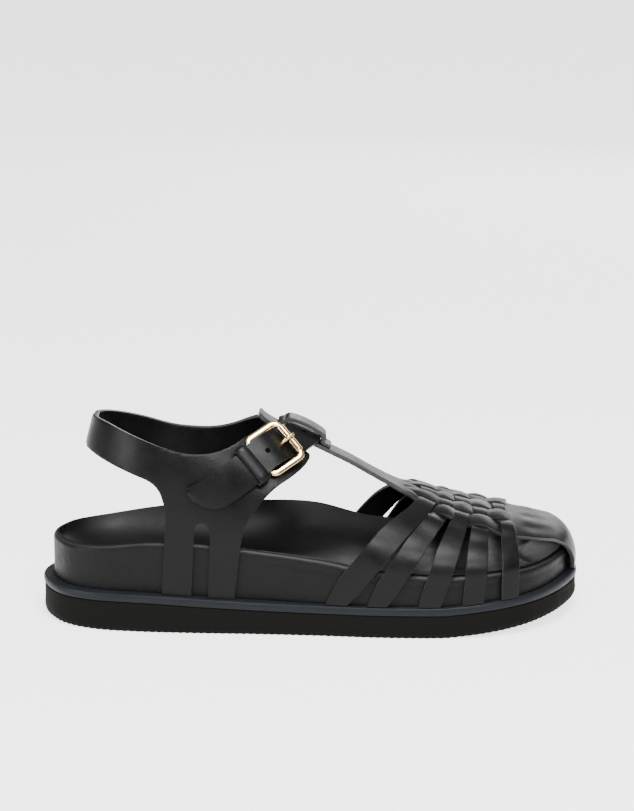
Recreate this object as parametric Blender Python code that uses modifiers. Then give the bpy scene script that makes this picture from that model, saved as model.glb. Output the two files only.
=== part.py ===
"""Fisherman sandal, right shoe, standing empty on its sole.

Pieces: outsole, welt, footbed, insole, woven vamp with its T-bar, quarter, ankle strap, keeper loop and a
roller buckle. X runs from heel to toe, Y from the outer (lateral) side to the inner (medial) side, Z up.
The origin is on the floor under the middle of the sole. A station is a share of the sole's length, counted
from the heel. A girth is a distance along a cross-section of the last, counted from its crown.
"""
import math

import bmesh
import bpy
import numpy as np

# Driving dimensions, in metres
SOLE_LENGTH = 0.262
BALL_WIDTH = 0.095
OUTSOLE_THICKNESS = 0.0148
OUTSOLE_EDGE = 0.0012
OUTSOLE_RIPPLE = 0.0005
WELT_THICKNESS = 0.0042
WELT_LEDGE = 0.0050
TOE_SPRING = 0.0070
HEEL_RISE = 0.0012
RIM_HEIGHT = 0.0215
RIM_WIDTH = 0.0026
INSOLE_THICKNESS = 0.0012
INSTEP_HEIGHT = 0.0972
COLLAR_HEIGHT = 0.0992
LEATHER = 0.0020
WEAVE_SWING = 0.0009
TBAR_LEATHER = 0.0024
CROSS_STRAP_WIDTH = 0.0105
ANKLE_STRAP_WIDTH = 0.0168
ANKLE_STRAP_LEATHER = 0.0022
LOOP_WIDTH = 0.0110
KEEPER_WIDTH = 0.0048
KEEPER_LEATHER = 0.0012
BUCKLE_BAR = 0.0027
BUCKLE_WIDTH = 0.0214
ROLLER_DIAMETER = 0.0040
PRONG_DIAMETER = 0.0020
STRAP_HOLE = 0.0018
CLEARANCE = 0.0003

# Counts of sections and points
SOLE_SECTIONS = 34
FOOTBED_COLUMNS = 8
RIPPLES_A_SIDE = 2

OBJECT_NAME = "fisherman_sandal"


def table(names, rows):
    """A table as named columns."""
    return dict(zip(names.split(), np.array(rows, dtype=float).T))


# The sole's plan: the two sides as shares of the ball width
OUTLINE = table("station lateral medial", [
    (0.000, 0.010, 0.010),
    (0.012, -0.135, 0.150),
    (0.038, -0.250, 0.262),
    (0.092, -0.340, 0.350),
    (0.172, -0.386, 0.392),
    (0.286, -0.415, 0.394),
    (0.400, -0.432, 0.378),
    (0.515, -0.458, 0.405),
    (0.630, -0.492, 0.462),
    (0.745, -0.498, 0.500),
    (0.832, -0.470, 0.480),
    (0.900, -0.385, 0.405),
    (0.950, -0.250, 0.305),
    (0.980, -0.115, 0.220),
    (1.000, 0.080, 0.080),
])
OUTLINE["turn"] = np.arccos(1 - 2 * OUTLINE["station"])

# The sole's side: shares of outsole thickness, welt ledge, and rim height for both rims and the seat
SIDE = table("station outsole ledge lateral_rim medial_rim seat", [
    (0.00, 0.96, 1.00, 0.98, 0.98, 0.50),
    (0.10, 1.00, 1.00, 0.99, 1.00, 0.46),
    (0.20, 0.99, 1.00, 1.14, 1.16, 0.47),
    (0.29, 0.91, 0.98, 1.20, 1.34, 0.52),
    (0.40, 0.82, 0.94, 1.12, 1.46, 0.58),
    (0.51, 0.77, 0.72, 1.00, 1.40, 0.60),
    (0.61, 0.76, 0.60, 0.80, 1.02, 0.56),
    (0.71, 0.76, 0.56, 0.69, 0.84, 0.51),
    (0.85, 0.75, 0.54, 0.61, 0.68, 0.46),
    (0.92, 0.71, 0.56, 0.56, 0.60, 0.42),
    (1.00, 0.65, 0.85, 0.55, 0.55, 0.40),
])

# The last over the footbed: crown height as a share of the instep height, the crown's place across as a
# share of the ball width, and how full the section is
LAST = table("station crown middle fullness", [
    (0.08, 1.400, 0.010, 2.75),
    (0.25, 1.174, 0.012, 2.75),
    (0.40, 1.000, 0.030, 2.20),
    (0.53, 0.827, 0.040, 2.10),
    (0.57, 0.772, 0.040, 2.10),
    (0.61, 0.709, 0.040, 2.10),
    (0.66, 0.638, 0.040, 2.10),
    (0.72, 0.573, 0.040, 2.10),
    (0.78, 0.527, 0.040, 2.10),
    (0.83, 0.498, 0.042, 2.10),
    (0.88, 0.480, 0.045, 2.10),
    (1.00, 0.400, 0.050, 2.10),
])

# The vamp's long piece up to the toe strap: half width as a share of the ball width, and the count of
# cross straps passed, which sets the weave
LONG_PIECE = table("station half_width passed", [
    (0.400, 0.050, -5.0),
    (0.408, 0.064, -4.5),
    (0.470, 0.066, -3.6),
    (0.560, 0.066, -1.9),
    (0.620, 0.068, -0.8),
    (0.660, 0.088, 0.00),
    (0.685, 0.135, 0.50),
    (0.716, 0.200, 1.00),
    (0.748, 0.230, 2.00),
    (0.780, 0.262, 3.00),
    (0.813, 0.288, 4.00),
    (0.850, 0.303, 5.00),
    (0.880, 0.305, 5.80),
])

# The toe strap from the weave to the welt: heights as shares of the instep height, the rest of ball width
TOE_STRAP = table("station height middle half_width drop", [
    (0.880, 0.479, 0.044, 0.305, 0.042),
    (0.905, 0.466, 0.050, 0.290, 0.040),
    (0.930, 0.452, 0.058, 0.265, 0.036),
    (0.953, 0.432, 0.068, 0.240, 0.034),
    (0.970, 0.404, 0.076, 0.215, 0.034),
    (0.981, 0.366, 0.084, 0.180, 0.030),
    (0.988, 0.318, 0.090, 0.145, 0.024),
    (0.991, 0.270, 0.093, 0.115, 0.016),
    (0.990, 0.224, 0.094, 0.100, 0.012),
])

# Cross straps: stations at the outer welt, outer strip, crown, inner strip and inner welt
CROSS_STRAPS = table("outer_foot outer_strip crown inner_strip inner_foot foot_width", [
    (0.547, 0.708, 0.716, 0.706, 0.552, 1.15),
    (0.621, 0.738, 0.748, 0.736, 0.628, 1.00),
    (0.716, 0.774, 0.780, 0.772, 0.724, 1.02),
    (0.795, 0.810, 0.813, 0.808, 0.800, 0.95),
    (0.862, 0.860, 0.850, 0.858, 0.868, 0.80),
])
STRIP_COUNT = 5
STRIP_SHARE = 0.85
WOVEN_WIDTH_SHARE = 0.70
FOOT_PLACE = 6.0

# The ankle strap's middle line from its free tip over the instep to the inner quarter: stations, girths as
# shares of the instep height, how far it rides up over the buckle's inner bar, and the girth share whose
# slope it takes, which is steady through the buckle
ANKLE_STRAP = table("station girth ride facing", [
    (0.292, -0.665, 0.00, -0.665),
    (0.326, -0.582, 0.00, -0.582),
    (0.358, -0.490, 0.30, -0.480),
    (0.382, -0.420, 0.95, -0.380),
    (0.403, -0.350, 1.20, -0.290),
    (0.426, -0.275, 1.00, -0.275),
    (0.438, -0.235, 0.42, -0.265),
    (0.452, -0.195, 0.02, -0.255),
    (0.468, -0.125, 0.00, -0.170),
    (0.479, -0.060, 0.00, -0.060),
    (0.482, 0.030, 0.00, 0.030),
    (0.472, 0.130, 0.00, 0.130),
    (0.446, 0.250, 0.00, 0.250),
    (0.415, 0.350, 0.00, 0.350),
    (0.385, 0.440, 0.00, 0.440),
])
INNER_BAR_PLACE = -0.350
ROLLER_PLACE = -0.195
PRONG_HOLE_SHARE = 0.675
KEEPER_PLACE = -0.402
SPARE_HOLE_PLACES = (-0.060, -0.318)

# Side outlines of the quarter: station, height as a share of the collar height, corner radius in metres
OUTER_PANEL = [
    (0.020, 1.000, 0.0),
    (0.125, 1.005, 0.030),
    (0.270, 0.873, 0.050),
    (0.335, 0.873, 0.050),
    (0.395, 0.948, 0.020),
    (0.445, 0.915, 0.004),
    (0.485, 0.864, 0.003),
    (0.507, 0.826, 0.004),
    (0.478, 0.772, 0.020),
    (0.428, 0.703, 0.040),
    (0.376, 0.535, 0.050),
    (0.3585, 0.130, 0.0),
    (0.226, 0.130, 0.0),
    (0.237, 0.600, 0.030),
    (0.222, 0.738, 0.030),
    (0.083, 0.861, 0.030),
    (0.020, 0.862, 0.0),
]
INNER_PANEL = [
    (0.020, 1.000, 0.0),
    (0.105, 0.995, 0.020),
    (0.240, 0.862, 0.050),
    (0.330, 0.850, 0.050),
    (0.408, 0.955, 0.010),
    (0.445, 0.940, 0.004),
    (0.500, 0.826, 0.006),
    (0.428, 0.690, 0.040),
    (0.376, 0.535, 0.050),
    (0.3585, 0.130, 0.0),
    (0.226, 0.130, 0.0),
    (0.237, 0.600, 0.030),
    (0.222, 0.738, 0.030),
    (0.083, 0.861, 0.030),
    (0.020, 0.862, 0.0),
]
PANEL_SLOT = [
    (0.2800, 0.100, 0.0),
    (0.2870, 0.500, 0.003),
    (0.2920, 0.550, 0.0035),
    (0.3110, 0.550, 0.0035),
    (0.3170, 0.480, 0.004),
    (0.3105, 0.100, 0.0),
]
OUTER_TAB_END = -0.137
INNER_TAB_END = 0.125
HEEL_BACK = 0.0235
HEEL_LEAN = 0.26
HEEL_ROUND = 0.040
HEEL_FULLNESS = 2.1


def read(rows, column, place, axis="station"):
    """A table's column at any place, by cubic pieces whose slopes follow the neighbouring rows."""
    places = rows[axis]
    values = rows[column]
    slopes = np.gradient(values, places)
    place = np.clip(np.asarray(place, dtype=float), places[0], places[-1])
    i = np.clip(np.searchsorted(places, place, side="right") - 1, 0, len(places) - 2)
    step = places[i + 1] - places[i]
    t = (place - places[i]) / step
    start = (1 + 2 * t) * (1 - t) ** 2 * values[i] + t * (1 - t) ** 2 * step * slopes[i]
    end = t * t * (3 - 2 * t) * values[i + 1] - t * t * (1 - t) * step * slopes[i + 1]
    return start + end


def x_at(station):
    return (np.asarray(station, dtype=float) - 0.5) * SOLE_LENGTH


def station_at(x):
    return np.asarray(x, dtype=float) / SOLE_LENGTH + 0.5


# The sole


def sole_sides(station):
    """Y of the sole's outer and inner side."""
    turn = np.arccos(np.clip(1 - 2 * np.asarray(station, dtype=float), -1, 1))
    outer = BALL_WIDTH * read(OUTLINE, "lateral", turn, "turn")
    inner = BALL_WIDTH * read(OUTLINE, "medial", turn, "turn")
    return outer, inner


def floor_rise(station):
    """Height of the outsole's bottom: flat from heel to ball, with toe spring and a slight heel rise."""
    station = np.asarray(station, dtype=float)
    toe = np.clip((station - 0.745) / 0.255, 0, 1) ** 1.1
    heel = np.clip(1 - station / 0.17, 0, 1) ** 2
    return TOE_SPRING * toe + HEEL_RISE * heel


def welt_bottom(station):
    return floor_rise(station) + OUTSOLE_THICKNESS * read(SIDE, "outsole", station)


def ledge_height(station):
    """Top of the welt, on which the footbed and the straps stand."""
    return welt_bottom(station) + WELT_THICKNESS


def ledge_width(station):
    return WELT_LEDGE * read(SIDE, "ledge", station)


def rim_height(station, side):
    column = "lateral_rim" if side < 0 else "medial_rim"
    return ledge_height(station) + RIM_HEIGHT * read(SIDE, column, station)


def plan_ring(inset):
    """The sole's outline moved inwards by inset(station): outer side heel to toe, then inner side back."""
    stations = (1 - np.cos(np.linspace(0, math.pi, SOLE_SECTIONS + 1))) / 2
    outer, inner = sole_sides(stations)
    forward = np.stack([x_at(stations), outer], axis=1)
    back = np.stack([x_at(stations), inner], axis=1)[-2:0:-1]
    ring = np.concatenate([forward, back])
    along = np.roll(ring, -1, axis=0) - np.roll(ring, 1, axis=0)
    along /= np.linalg.norm(along, axis=1, keepdims=True)
    inward = np.stack([-along[:, 1], along[:, 0]], axis=1)
    return ring + inward * np.asarray(inset(station_at(ring[:, 0])))[:, None]


def ring_level(plan, heights):
    return np.column_stack([plan, heights])


def deck(ring, columns, height):
    """Rows of points across a ring, from its outer to its inner side, heights set by height(x, share)."""
    count = len(ring)
    rows = []
    for k in range(1, SOLE_SECTIONS):
        outer = ring[k]
        inner = ring[count - k]
        shares = np.sin(np.linspace(-math.pi / 2, math.pi / 2, columns + 1))[1:-1]
        row = outer + (inner - outer) * ((shares + 1) / 2)[:, None]
        row[:, 2] = height(row[:, 0], shares)
        rows.append(row)
    return np.array(rows)


def cap_faces(count, columns, ring_start, deck_start, upward):
    """Quads and end triangles between a ring and the deck points inside it."""
    inside = columns - 1

    def at(k, c):
        if c == 0:
            return ring_start + k
        if c == columns:
            return ring_start + count - k
        return deck_start + (k - 1) * inside + c - 1

    faces = []
    heel = ring_start
    toe = ring_start + SOLE_SECTIONS
    for c in range(columns):
        faces.append((heel, at(1, c), at(1, c + 1)))
        faces.append((toe, at(SOLE_SECTIONS - 1, c + 1), at(SOLE_SECTIONS - 1, c)))
        for k in range(1, SOLE_SECTIONS - 1):
            faces.append((at(k, c), at(k + 1, c), at(k + 1, c + 1), at(k, c + 1)))
    if not upward:
        faces = [face[::-1] for face in faces]
    return faces


def sole_solid(name, levels, bottom_height, top_height, columns, material):
    """A closed loft of plan rings, bottom to top, capped by decks of points."""
    count = len(levels[0])
    vertices = [level for level in levels]
    faces = []
    for level in range(len(levels) - 1):
        low = level * count
        high = low + count
        for i in range(count):
            j = (i + 1) % count
            faces.append((low + i, low + j, high + j, high + i))
    bottom = deck(levels[0], columns, bottom_height).reshape(-1, 3)
    top = deck(levels[-1], columns, top_height).reshape(-1, 3)
    deck_start = len(levels) * count
    faces += cap_faces(count, columns, 0, deck_start, False)
    faces += cap_faces(count, columns, (len(levels) - 1) * count, deck_start + len(bottom), True)
    vertices = np.concatenate(vertices + [bottom, top])
    return mesh_object(name, vertices, faces, material)


def outsole(material):
    """EVA sole with a softened lower edge and a gentle ripple round it."""
    def ripple(station):
        wave = np.sin(2 * math.pi * RIPPLES_A_SIDE * SOLE_SECTIONS / 4 * station)
        return OUTSOLE_EDGE + OUTSOLE_RIPPLE * (1 + wave) / 2

    def flat(station):
        return np.zeros_like(station)

    base = plan_ring(ripple)
    low = plan_ring(flat)
    base_level = ring_level(base, floor_rise(station_at(base[:, 0])))
    low_level = ring_level(low, floor_rise(station_at(low[:, 0])) + OUTSOLE_EDGE)
    high_level = ring_level(low, welt_bottom(station_at(low[:, 0])) - CLEARANCE)
    return sole_solid(
        "outsole", [base_level, low_level, high_level],
        lambda x, share: floor_rise(station_at(x)),
        lambda x, share: welt_bottom(station_at(x)) - CLEARANCE,
        2, material)


def welt(material):
    """The runner between outsole and footbed, its face slightly proud of the outsole."""
    proud = plan_ring(lambda station: np.full_like(station, -WELT_THICKNESS / 12))
    soft = plan_ring(lambda station: np.full_like(station, WELT_THICKNESS / 12))
    stations = station_at(proud[:, 0])
    levels = [
        ring_level(soft, welt_bottom(station_at(soft[:, 0]))),
        ring_level(proud, welt_bottom(stations) + WELT_THICKNESS / 6),
        ring_level(proud, welt_bottom(stations) + WELT_THICKNESS * 5 / 6),
        ring_level(soft, ledge_height(station_at(soft[:, 0]))),
    ]
    return sole_solid(
        "welt", levels,
        lambda x, share: welt_bottom(station_at(x)),
        lambda x, share: ledge_height(station_at(x)),
        2, material)


def seat_height(x, share):
    """Height of the footbed's hollow: low along the middle, rising to the rims, heel cup and toe rim."""
    station = station_at(x)
    seat = ledge_height(station) + RIM_HEIGHT * read(SIDE, "seat", station)
    rim = np.where(share < 0, rim_height(station, -1), rim_height(station, 1))
    heel = np.clip(1 - station / 0.13, 0, 1)
    toe = np.clip(1 - (1 - station) / 0.10, 0, 1)
    end = np.maximum(heel ** 2.0, toe ** 2.4)
    rimness = 1 - (1 - np.abs(share) ** 3.4) * (1 - end)
    return seat + (rim - seat) * rimness


def rim_blend(stations, inner):
    """Rim height round the ring, the two sides meeting at heel and toe."""
    outer_rim = rim_height(stations, -1)
    inner_rim = rim_height(stations, 1)
    return np.where(inner, inner_rim, outer_rim)


def footbed(material):
    """Leather-wrapped contoured footbed: upright side, rolled rim, heel cup and arch rise."""
    wall = plan_ring(ledge_width)
    rolled = plan_ring(lambda station: ledge_width(station) + RIM_WIDTH * 0.3)
    lip = plan_ring(lambda station: ledge_width(station) + RIM_WIDTH)
    inner = np.arange(len(wall)) > SOLE_SECTIONS

    def level(plan, drop):
        stations = station_at(plan[:, 0])
        return ring_level(plan, rim_blend(stations, inner) - drop)

    stations = station_at(wall[:, 0])
    levels = [
        ring_level(wall, ledge_height(stations) + CLEARANCE),
        level(wall, RIM_WIDTH * 1.1),
        level(rolled, RIM_WIDTH * 0.25),
        level(lip, 0.0),
    ]
    return sole_solid(
        "footbed", levels,
        lambda x, share: ledge_height(station_at(x)) + CLEARANCE,
        seat_height, FOOTBED_COLUMNS, material)


def insole(material):
    """Thin leather cover lying in the footbed's hollow, on the same points as the footbed's top."""
    lip = plan_ring(lambda station: ledge_width(station) + RIM_WIDTH)
    ring = ring_level(lip, np.zeros(len(lip)))
    rows = deck(ring, FOOTBED_COLUMNS, seat_height)[1:-1]
    grid = rows + np.array([0.0, 0.0, CLEARANCE])
    return sheet("insole", grid, INSOLE_THICKNESS, material)


# The last


def last_section(x, points=120):
    """Y, Z and girth along the last's cross-section, from the outer welt over the crown to the inner."""
    station = station_at(x)
    outer, inner = sole_sides(station)
    ledge = ledge_width(station)
    middle = BALL_WIDTH * read(LAST, "middle", station)
    crown = INSTEP_HEIGHT * read(LAST, "crown", station)
    fullness = read(LAST, "fullness", station)
    angle = np.linspace(0, math.pi / 2, points)
    across = np.sin(angle) ** (2 / fullness)
    up = np.cos(angle) ** (2 / fullness)
    foot = ledge_height(station) + CLEARANCE
    halves = []
    for side, width in ((-1, middle - outer - ledge), (1, inner - ledge - middle)):
        rim = rim_height(station, side)
        y = middle + side * (width + CLEARANCE) * across
        z = rim + (crown - rim) * up
        y = np.append(y, y[-1])
        z = np.append(z, foot)
        girth = side * np.concatenate([[0.0], np.cumsum(np.hypot(np.diff(y), np.diff(z)))])
        halves.append((y, z, girth))
    (outer_y, outer_z, outer_g), (inner_y, inner_z, inner_g) = halves
    return (np.concatenate([outer_y[::-1], inner_y[1:]]), np.concatenate([outer_z[::-1], inner_z[1:]]),
            np.concatenate([outer_g[::-1], inner_g[1:]]))


def last_point(x, girth):
    y, z, girths = last_section(x)
    return np.array([float(x), np.interp(girth, girths, y), np.interp(girth, girths, z)])


def last_normal(x, girth, step=0.0008):
    """Outward direction of the last at a point."""
    along = last_point(x + step, girth) - last_point(x - step, girth)
    y, z, girths = last_section(x)
    low = max(girth - step, girths[0])
    high = min(girth + step, girths[-1])
    across = np.array([0.0, np.interp(high, girths, y) - np.interp(low, girths, y),
                       np.interp(high, girths, z) - np.interp(low, girths, z)])
    normal = np.cross(along, across)
    return normal / np.linalg.norm(normal)


def raised(x, girth, lift):
    return last_point(x, girth) + lift * last_normal(x, girth)


def foot_girth(x, side):
    """Girth at which a strap meets the welt."""
    girths = last_section(x)[2]
    return girths[0] if side < 0 else girths[-1]


def wall_half_width(x, z, side):
    """How far the last's side stands from the section's middle at height z."""
    station = station_at(x)
    outer, inner = sole_sides(station)
    middle = BALL_WIDTH * read(LAST, "middle", station)
    edge = np.where(side < 0, middle - outer, inner - middle) - ledge_width(station) + CLEARANCE
    rim = np.where(side < 0, rim_height(station, -1), rim_height(station, 1))
    crown = INSTEP_HEIGHT * read(LAST, "crown", station)
    fullness = read(LAST, "fullness", station)
    share = np.clip((z - rim) / (crown - rim), 0, 1)
    return middle, edge * (1 - share ** fullness) ** (1 / fullness)


# Mesh helpers


def mesh_object(name, vertices, faces, material):
    mesh = bpy.data.meshes.new(name)
    mesh.from_pydata(np.asarray(vertices).tolist(), [], faces)
    mesh.materials.append(material)
    mesh.validate()
    mesh.shade_smooth()
    mesh.set_sharp_from_angle(angle=math.radians(40))
    made = bpy.data.objects.new(name, mesh)
    bpy.data.collections[OBJECT_NAME].objects.link(made)
    return made


def sheet(name, grid, thickness, material, kept=None):
    """An open grid of points thickened outwards. kept marks the cells that are leather."""
    rows, columns = grid.shape[:2]
    if kept is None:
        kept = np.ones((rows - 1, columns - 1), dtype=bool)
    faces = []
    for r in range(rows - 1):
        for c in range(columns - 1):
            if kept[r, c]:
                low = r * columns + c
                faces.append((low, low + columns, low + columns + 1, low + 1))
    made = mesh_object(name, grid.reshape(-1, 3), faces, material)
    return thicken(made, thickness)


def thicken(made, thickness):
    """Turn an open surface into leather of this thickness, outwards from it."""
    solidify = made.modifiers.new("thickness", "SOLIDIFY")
    solidify.thickness = thickness
    solidify.offset = 1.0
    solidify.use_even_offset = True
    return made


def boolean(target, other, operation):
    cut = target.modifiers.new(operation.lower(), "BOOLEAN")
    cut.operation = operation
    cut.solver = "EXACT"
    cut.object = other


def as_tool(tool):
    """Turn an object into a hidden tool for a Boolean, out of the finished collection."""
    bpy.data.collections[OBJECT_NAME].objects.unlink(tool)
    bpy.data.collections["tools"].objects.link(tool)
    tool.hide_render = True
    tool.display_type = "WIRE"
    return tool


def joined(made, others):
    for other in others:
        boolean(made, as_tool(other), "UNION")
    return made


def rounded(corners, height_unit, steps=5):
    """Corner rows of station, height share and radius as points, each corner turned into an arc."""
    points = np.array([(x_at(station), share * height_unit) for station, share, radius in corners])
    outline = []
    count = len(points)
    for i in range(count):
        here = points[i]
        radius = corners[i][2]
        before = points[i - 1] - here
        after = points[(i + 1) % count] - here
        room = min(np.linalg.norm(before), np.linalg.norm(after)) * 0.49
        before /= np.linalg.norm(before)
        after /= np.linalg.norm(after)
        half = math.acos(float(np.clip(before @ after, -1, 1))) / 2
        if radius == 0 or half > math.radians(88):
            outline.append(here)
            continue
        reach = min(radius / math.tan(half), room)
        for t in np.linspace(0, 1, steps + 1):
            outline.append((1 - t) ** 2 * (here + before * reach) + 2 * t * (1 - t) * here
                           + t * t * (here + after * reach))
    return np.array(outline)


def side_plate(name, outline, y_low, y_high, material):
    """A flat outline in the XZ plane, extruded along Y."""
    shape = bmesh.new()
    corners = [shape.verts.new((x, y_low, z)) for x, z in outline]
    face = shape.faces.new(corners)
    pushed = bmesh.ops.extrude_face_region(shape, geom=[face])
    moved = [item for item in pushed["geom"] if isinstance(item, bmesh.types.BMVert)]
    bmesh.ops.translate(shape, verts=moved, vec=(0, y_high - y_low, 0))
    bmesh.ops.recalc_face_normals(shape, faces=shape.faces)
    mesh = bpy.data.meshes.new(name)
    shape.to_mesh(mesh)
    shape.free()
    mesh.materials.append(material)
    made = bpy.data.objects.new(name, mesh)
    bpy.data.collections[OBJECT_NAME].objects.link(made)
    return as_tool(made)


# The vamp


def weave_fade(count, low, high, ramp):
    """One inside the woven stretch, easing to nothing past its two ends."""
    rise = np.clip((count - low) / ramp, 0, 1)
    fall = np.clip((high - count) / ramp, 0, 1)
    ease = np.minimum(rise, fall)
    return ease * ease * (3 - 2 * ease)


def strip_lift(passed, strip):
    """Lift of a lengthwise strip, over every second cross strap and under the others."""
    fade = weave_fade(passed, 0.1, 5.9, 0.75)
    swing = math.cos(math.pi * passed) * math.cos(math.pi * strip)
    return CLEARANCE + WEAVE_SWING * fade * (1 + swing)


def strap_lift(number, place):
    """Lift of a cross strap at a place counted in strips from the crown."""
    fade = weave_fade(place, -3.6, 3.6, 1.0)
    swing = -math.cos(math.pi * number) * math.cos(math.pi * place)
    return CLEARANCE + WEAVE_SWING * fade * (1 + swing)


def strip_pitch(station):
    """Distance between neighbouring strips where the long piece is this wide."""
    half_width = BALL_WIDTH * read(LONG_PIECE, "half_width", station)
    return half_width / ((STRIP_COUNT - 1) / 2 + STRIP_SHARE / 2)


def long_piece(material):
    """T-bar, five strips and toe strap in one sheet, slit between the strips."""
    reach = (STRIP_COUNT - 1) // 2
    places = []
    for strip in range(-reach, reach + 1):
        places += [(strip, strip + STRIP_SHARE * edge / 2) for edge in (-1, 0, 1)]
    tbar_passed = [-5.0, -4.5, -3.6, -2.6, -1.6, -0.8, -0.25]
    woven_passed = np.arange(0.1, 5.85, 0.25).tolist()
    rows = []
    slit_rows = []
    for passed in tbar_passed + woven_passed:
        station = float(read(LONG_PIECE, "station", passed, "passed"))
        x = float(x_at(station))
        pitch = float(strip_pitch(station))
        rows.append([raised(x, place * pitch, strip_lift(passed, strip)) for strip, place in places])
        slit_rows.append(0.55 <= passed <= 5.3)
    rows += toe_strap_rows([place for strip, place in places])
    slit_rows += [False] * (len(rows) - len(slit_rows))
    grid = np.array(rows)
    kept = np.ones((grid.shape[0] - 1, grid.shape[1] - 1), dtype=bool)
    for r in range(grid.shape[0] - 1):
        if slit_rows[r] and slit_rows[r + 1]:
            kept[r, 2::3] = False
    return sheet("vamp", grid, TBAR_LEATHER, material, kept)


def toe_strap_rows(places):
    """Rows of the toe strap, curved across by its drop, down to the welt at the toe."""
    steps = np.linspace(0, len(TOE_STRAP["station"]) - 1, 13)[1:]
    rows_at = np.arange(len(TOE_STRAP["station"]))
    spread = dict(TOE_STRAP, row=rows_at)
    centre = np.stack([
        x_at(read(spread, "station", steps, "row")),
        BALL_WIDTH * read(spread, "middle", steps, "row"),
        INSTEP_HEIGHT * read(spread, "height", steps, "row"),
    ], axis=1)
    half_width = BALL_WIDTH * read(spread, "half_width", steps, "row")
    drop = BALL_WIDTH * read(spread, "drop", steps, "row")
    along = np.gradient(centre, axis=0)
    along /= np.linalg.norm(along, axis=1, keepdims=True)
    outward = np.stack([-along[:, 2], np.zeros(len(steps)), along[:, 0]], axis=1)
    widest = max(places)
    rows = []
    for i in range(len(steps)):
        shares = np.array(places) / widest
        row = centre[i] - np.outer(drop[i] * shares ** 2, outward[i])
        row[:, 1] += half_width[i] * shares
        rows.append(row + CLEARANCE * outward[i])
    return rows


def cross_strap(index, material):
    """One woven strap, from the outer welt over and under the strips to the inner welt."""
    knots = np.array([-FOOT_PLACE, -2.0, 0.0, 2.0, FOOT_PLACE])
    names = ("outer_foot", "outer_strip", "crown", "inner_strip", "inner_foot")
    stations = np.array([CROSS_STRAPS[name][index] for name in names])
    run = {"place": knots, "station": stations}
    places = np.concatenate([
        np.linspace(-FOOT_PLACE, -3.0, 7)[:-1], np.linspace(-3.0, 3.0, 25), np.linspace(3.0, FOOT_PLACE, 7)[1:]])
    centres = []
    normals = []
    for place in places:
        station = float(read(run, "station", place, "place"))
        x = float(x_at(station))
        pitch = float(strip_pitch(CROSS_STRAPS["crown"][index]))
        woven = place * pitch
        side = -1 if place < 0 else 1
        share = float(np.clip((abs(place) - 2.0) / (FOOT_PLACE - 2.0), 0, 1))
        girth = woven if share == 0 else side * 2.0 * pitch * (1 - share) + foot_girth(x, side) * share
        lift = strap_lift(index + 1, place)
        centres.append(raised(x, girth, lift))
        normals.append(last_normal(x, girth))
    spread = np.clip((np.abs(places) - 2.0) / (FOOT_PLACE - 2.0), 0, 1)
    foot_width = CROSS_STRAP_WIDTH * CROSS_STRAPS["foot_width"][index]
    widths = foot_width * (WOVEN_WIDTH_SHARE + (1 - WOVEN_WIDTH_SHARE) * np.minimum(spread * 2, 1))
    grid = band_grid(np.array(centres), np.array(normals), widths, level_ends=True)
    for end in (0, -1):
        grid[end, :, 2] = ledge_height(station_at(grid[end, :, 0])) + CLEARANCE
    return sheet("cross_strap_%d" % (index + 1), grid, LEATHER, material)


def band_grid(centres, normals, widths, level_ends=False):
    """Two columns of points either side of a middle line, flat across it."""
    along = np.gradient(centres, axis=0)
    along /= np.linalg.norm(along, axis=1, keepdims=True)
    across = np.cross(normals, along)
    across /= np.linalg.norm(across, axis=1, keepdims=True)
    half = np.asarray(widths)[:, None] / 2
    if level_ends:
        for end in (0, -1):
            level = np.array([across[end][0], across[end][1], 0.0])
            across[end] = level / abs(level[0]) * abs(across[end][0] / (1 - across[end][2] ** 2))
    return np.stack([centres - across * half, centres + across * half], axis=1)


def tbar_loop(material):
    """The strip that folds over the ankle strap and is stitched down on the T-bar at both ends."""
    low = TBAR_LEATHER - CLEARANCE
    high = CLEARANCE + TBAR_LEATHER + CLEARANCE + ANKLE_STRAP_LEATHER + 3 * CLEARANCE
    reach = ANKLE_STRAP_WIDTH / 2
    middle = float(x_at(read(ANKLE_STRAP, "station", 0.0, "girth")))
    slope = math.hypot(1.0, 0.5)
    stops = [(-reach - 0.0042, low), (-reach - 0.0030, low + 0.001), (-reach - 0.0020, high * 0.55),
             (-reach - 0.0006, high), (0.0, high + 0.0006), (reach, high), (reach + 0.0022, high * 0.62),
             (reach + 0.0040, low), (reach + 0.0075, low)]
    centres = []
    normals = []
    for along, lift in stops:
        x = middle + along / slope
        centres.append(raised(x, 0.0, lift))
        normals.append(np.array([0.0, 1.0, 0.0]))
    centres = np.array(centres)
    half = np.array([0.0, LOOP_WIDTH / 2, 0.0])
    grid = np.stack([centres - half, centres + half], axis=1)
    return sheet("tbar_loop", grid, LEATHER, material)


def vamp(material):
    straps = [cross_strap(index, material) for index in range(len(CROSS_STRAPS["crown"]))]
    return joined(long_piece(material), straps + [tbar_loop(material)])


# The quarter


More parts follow.
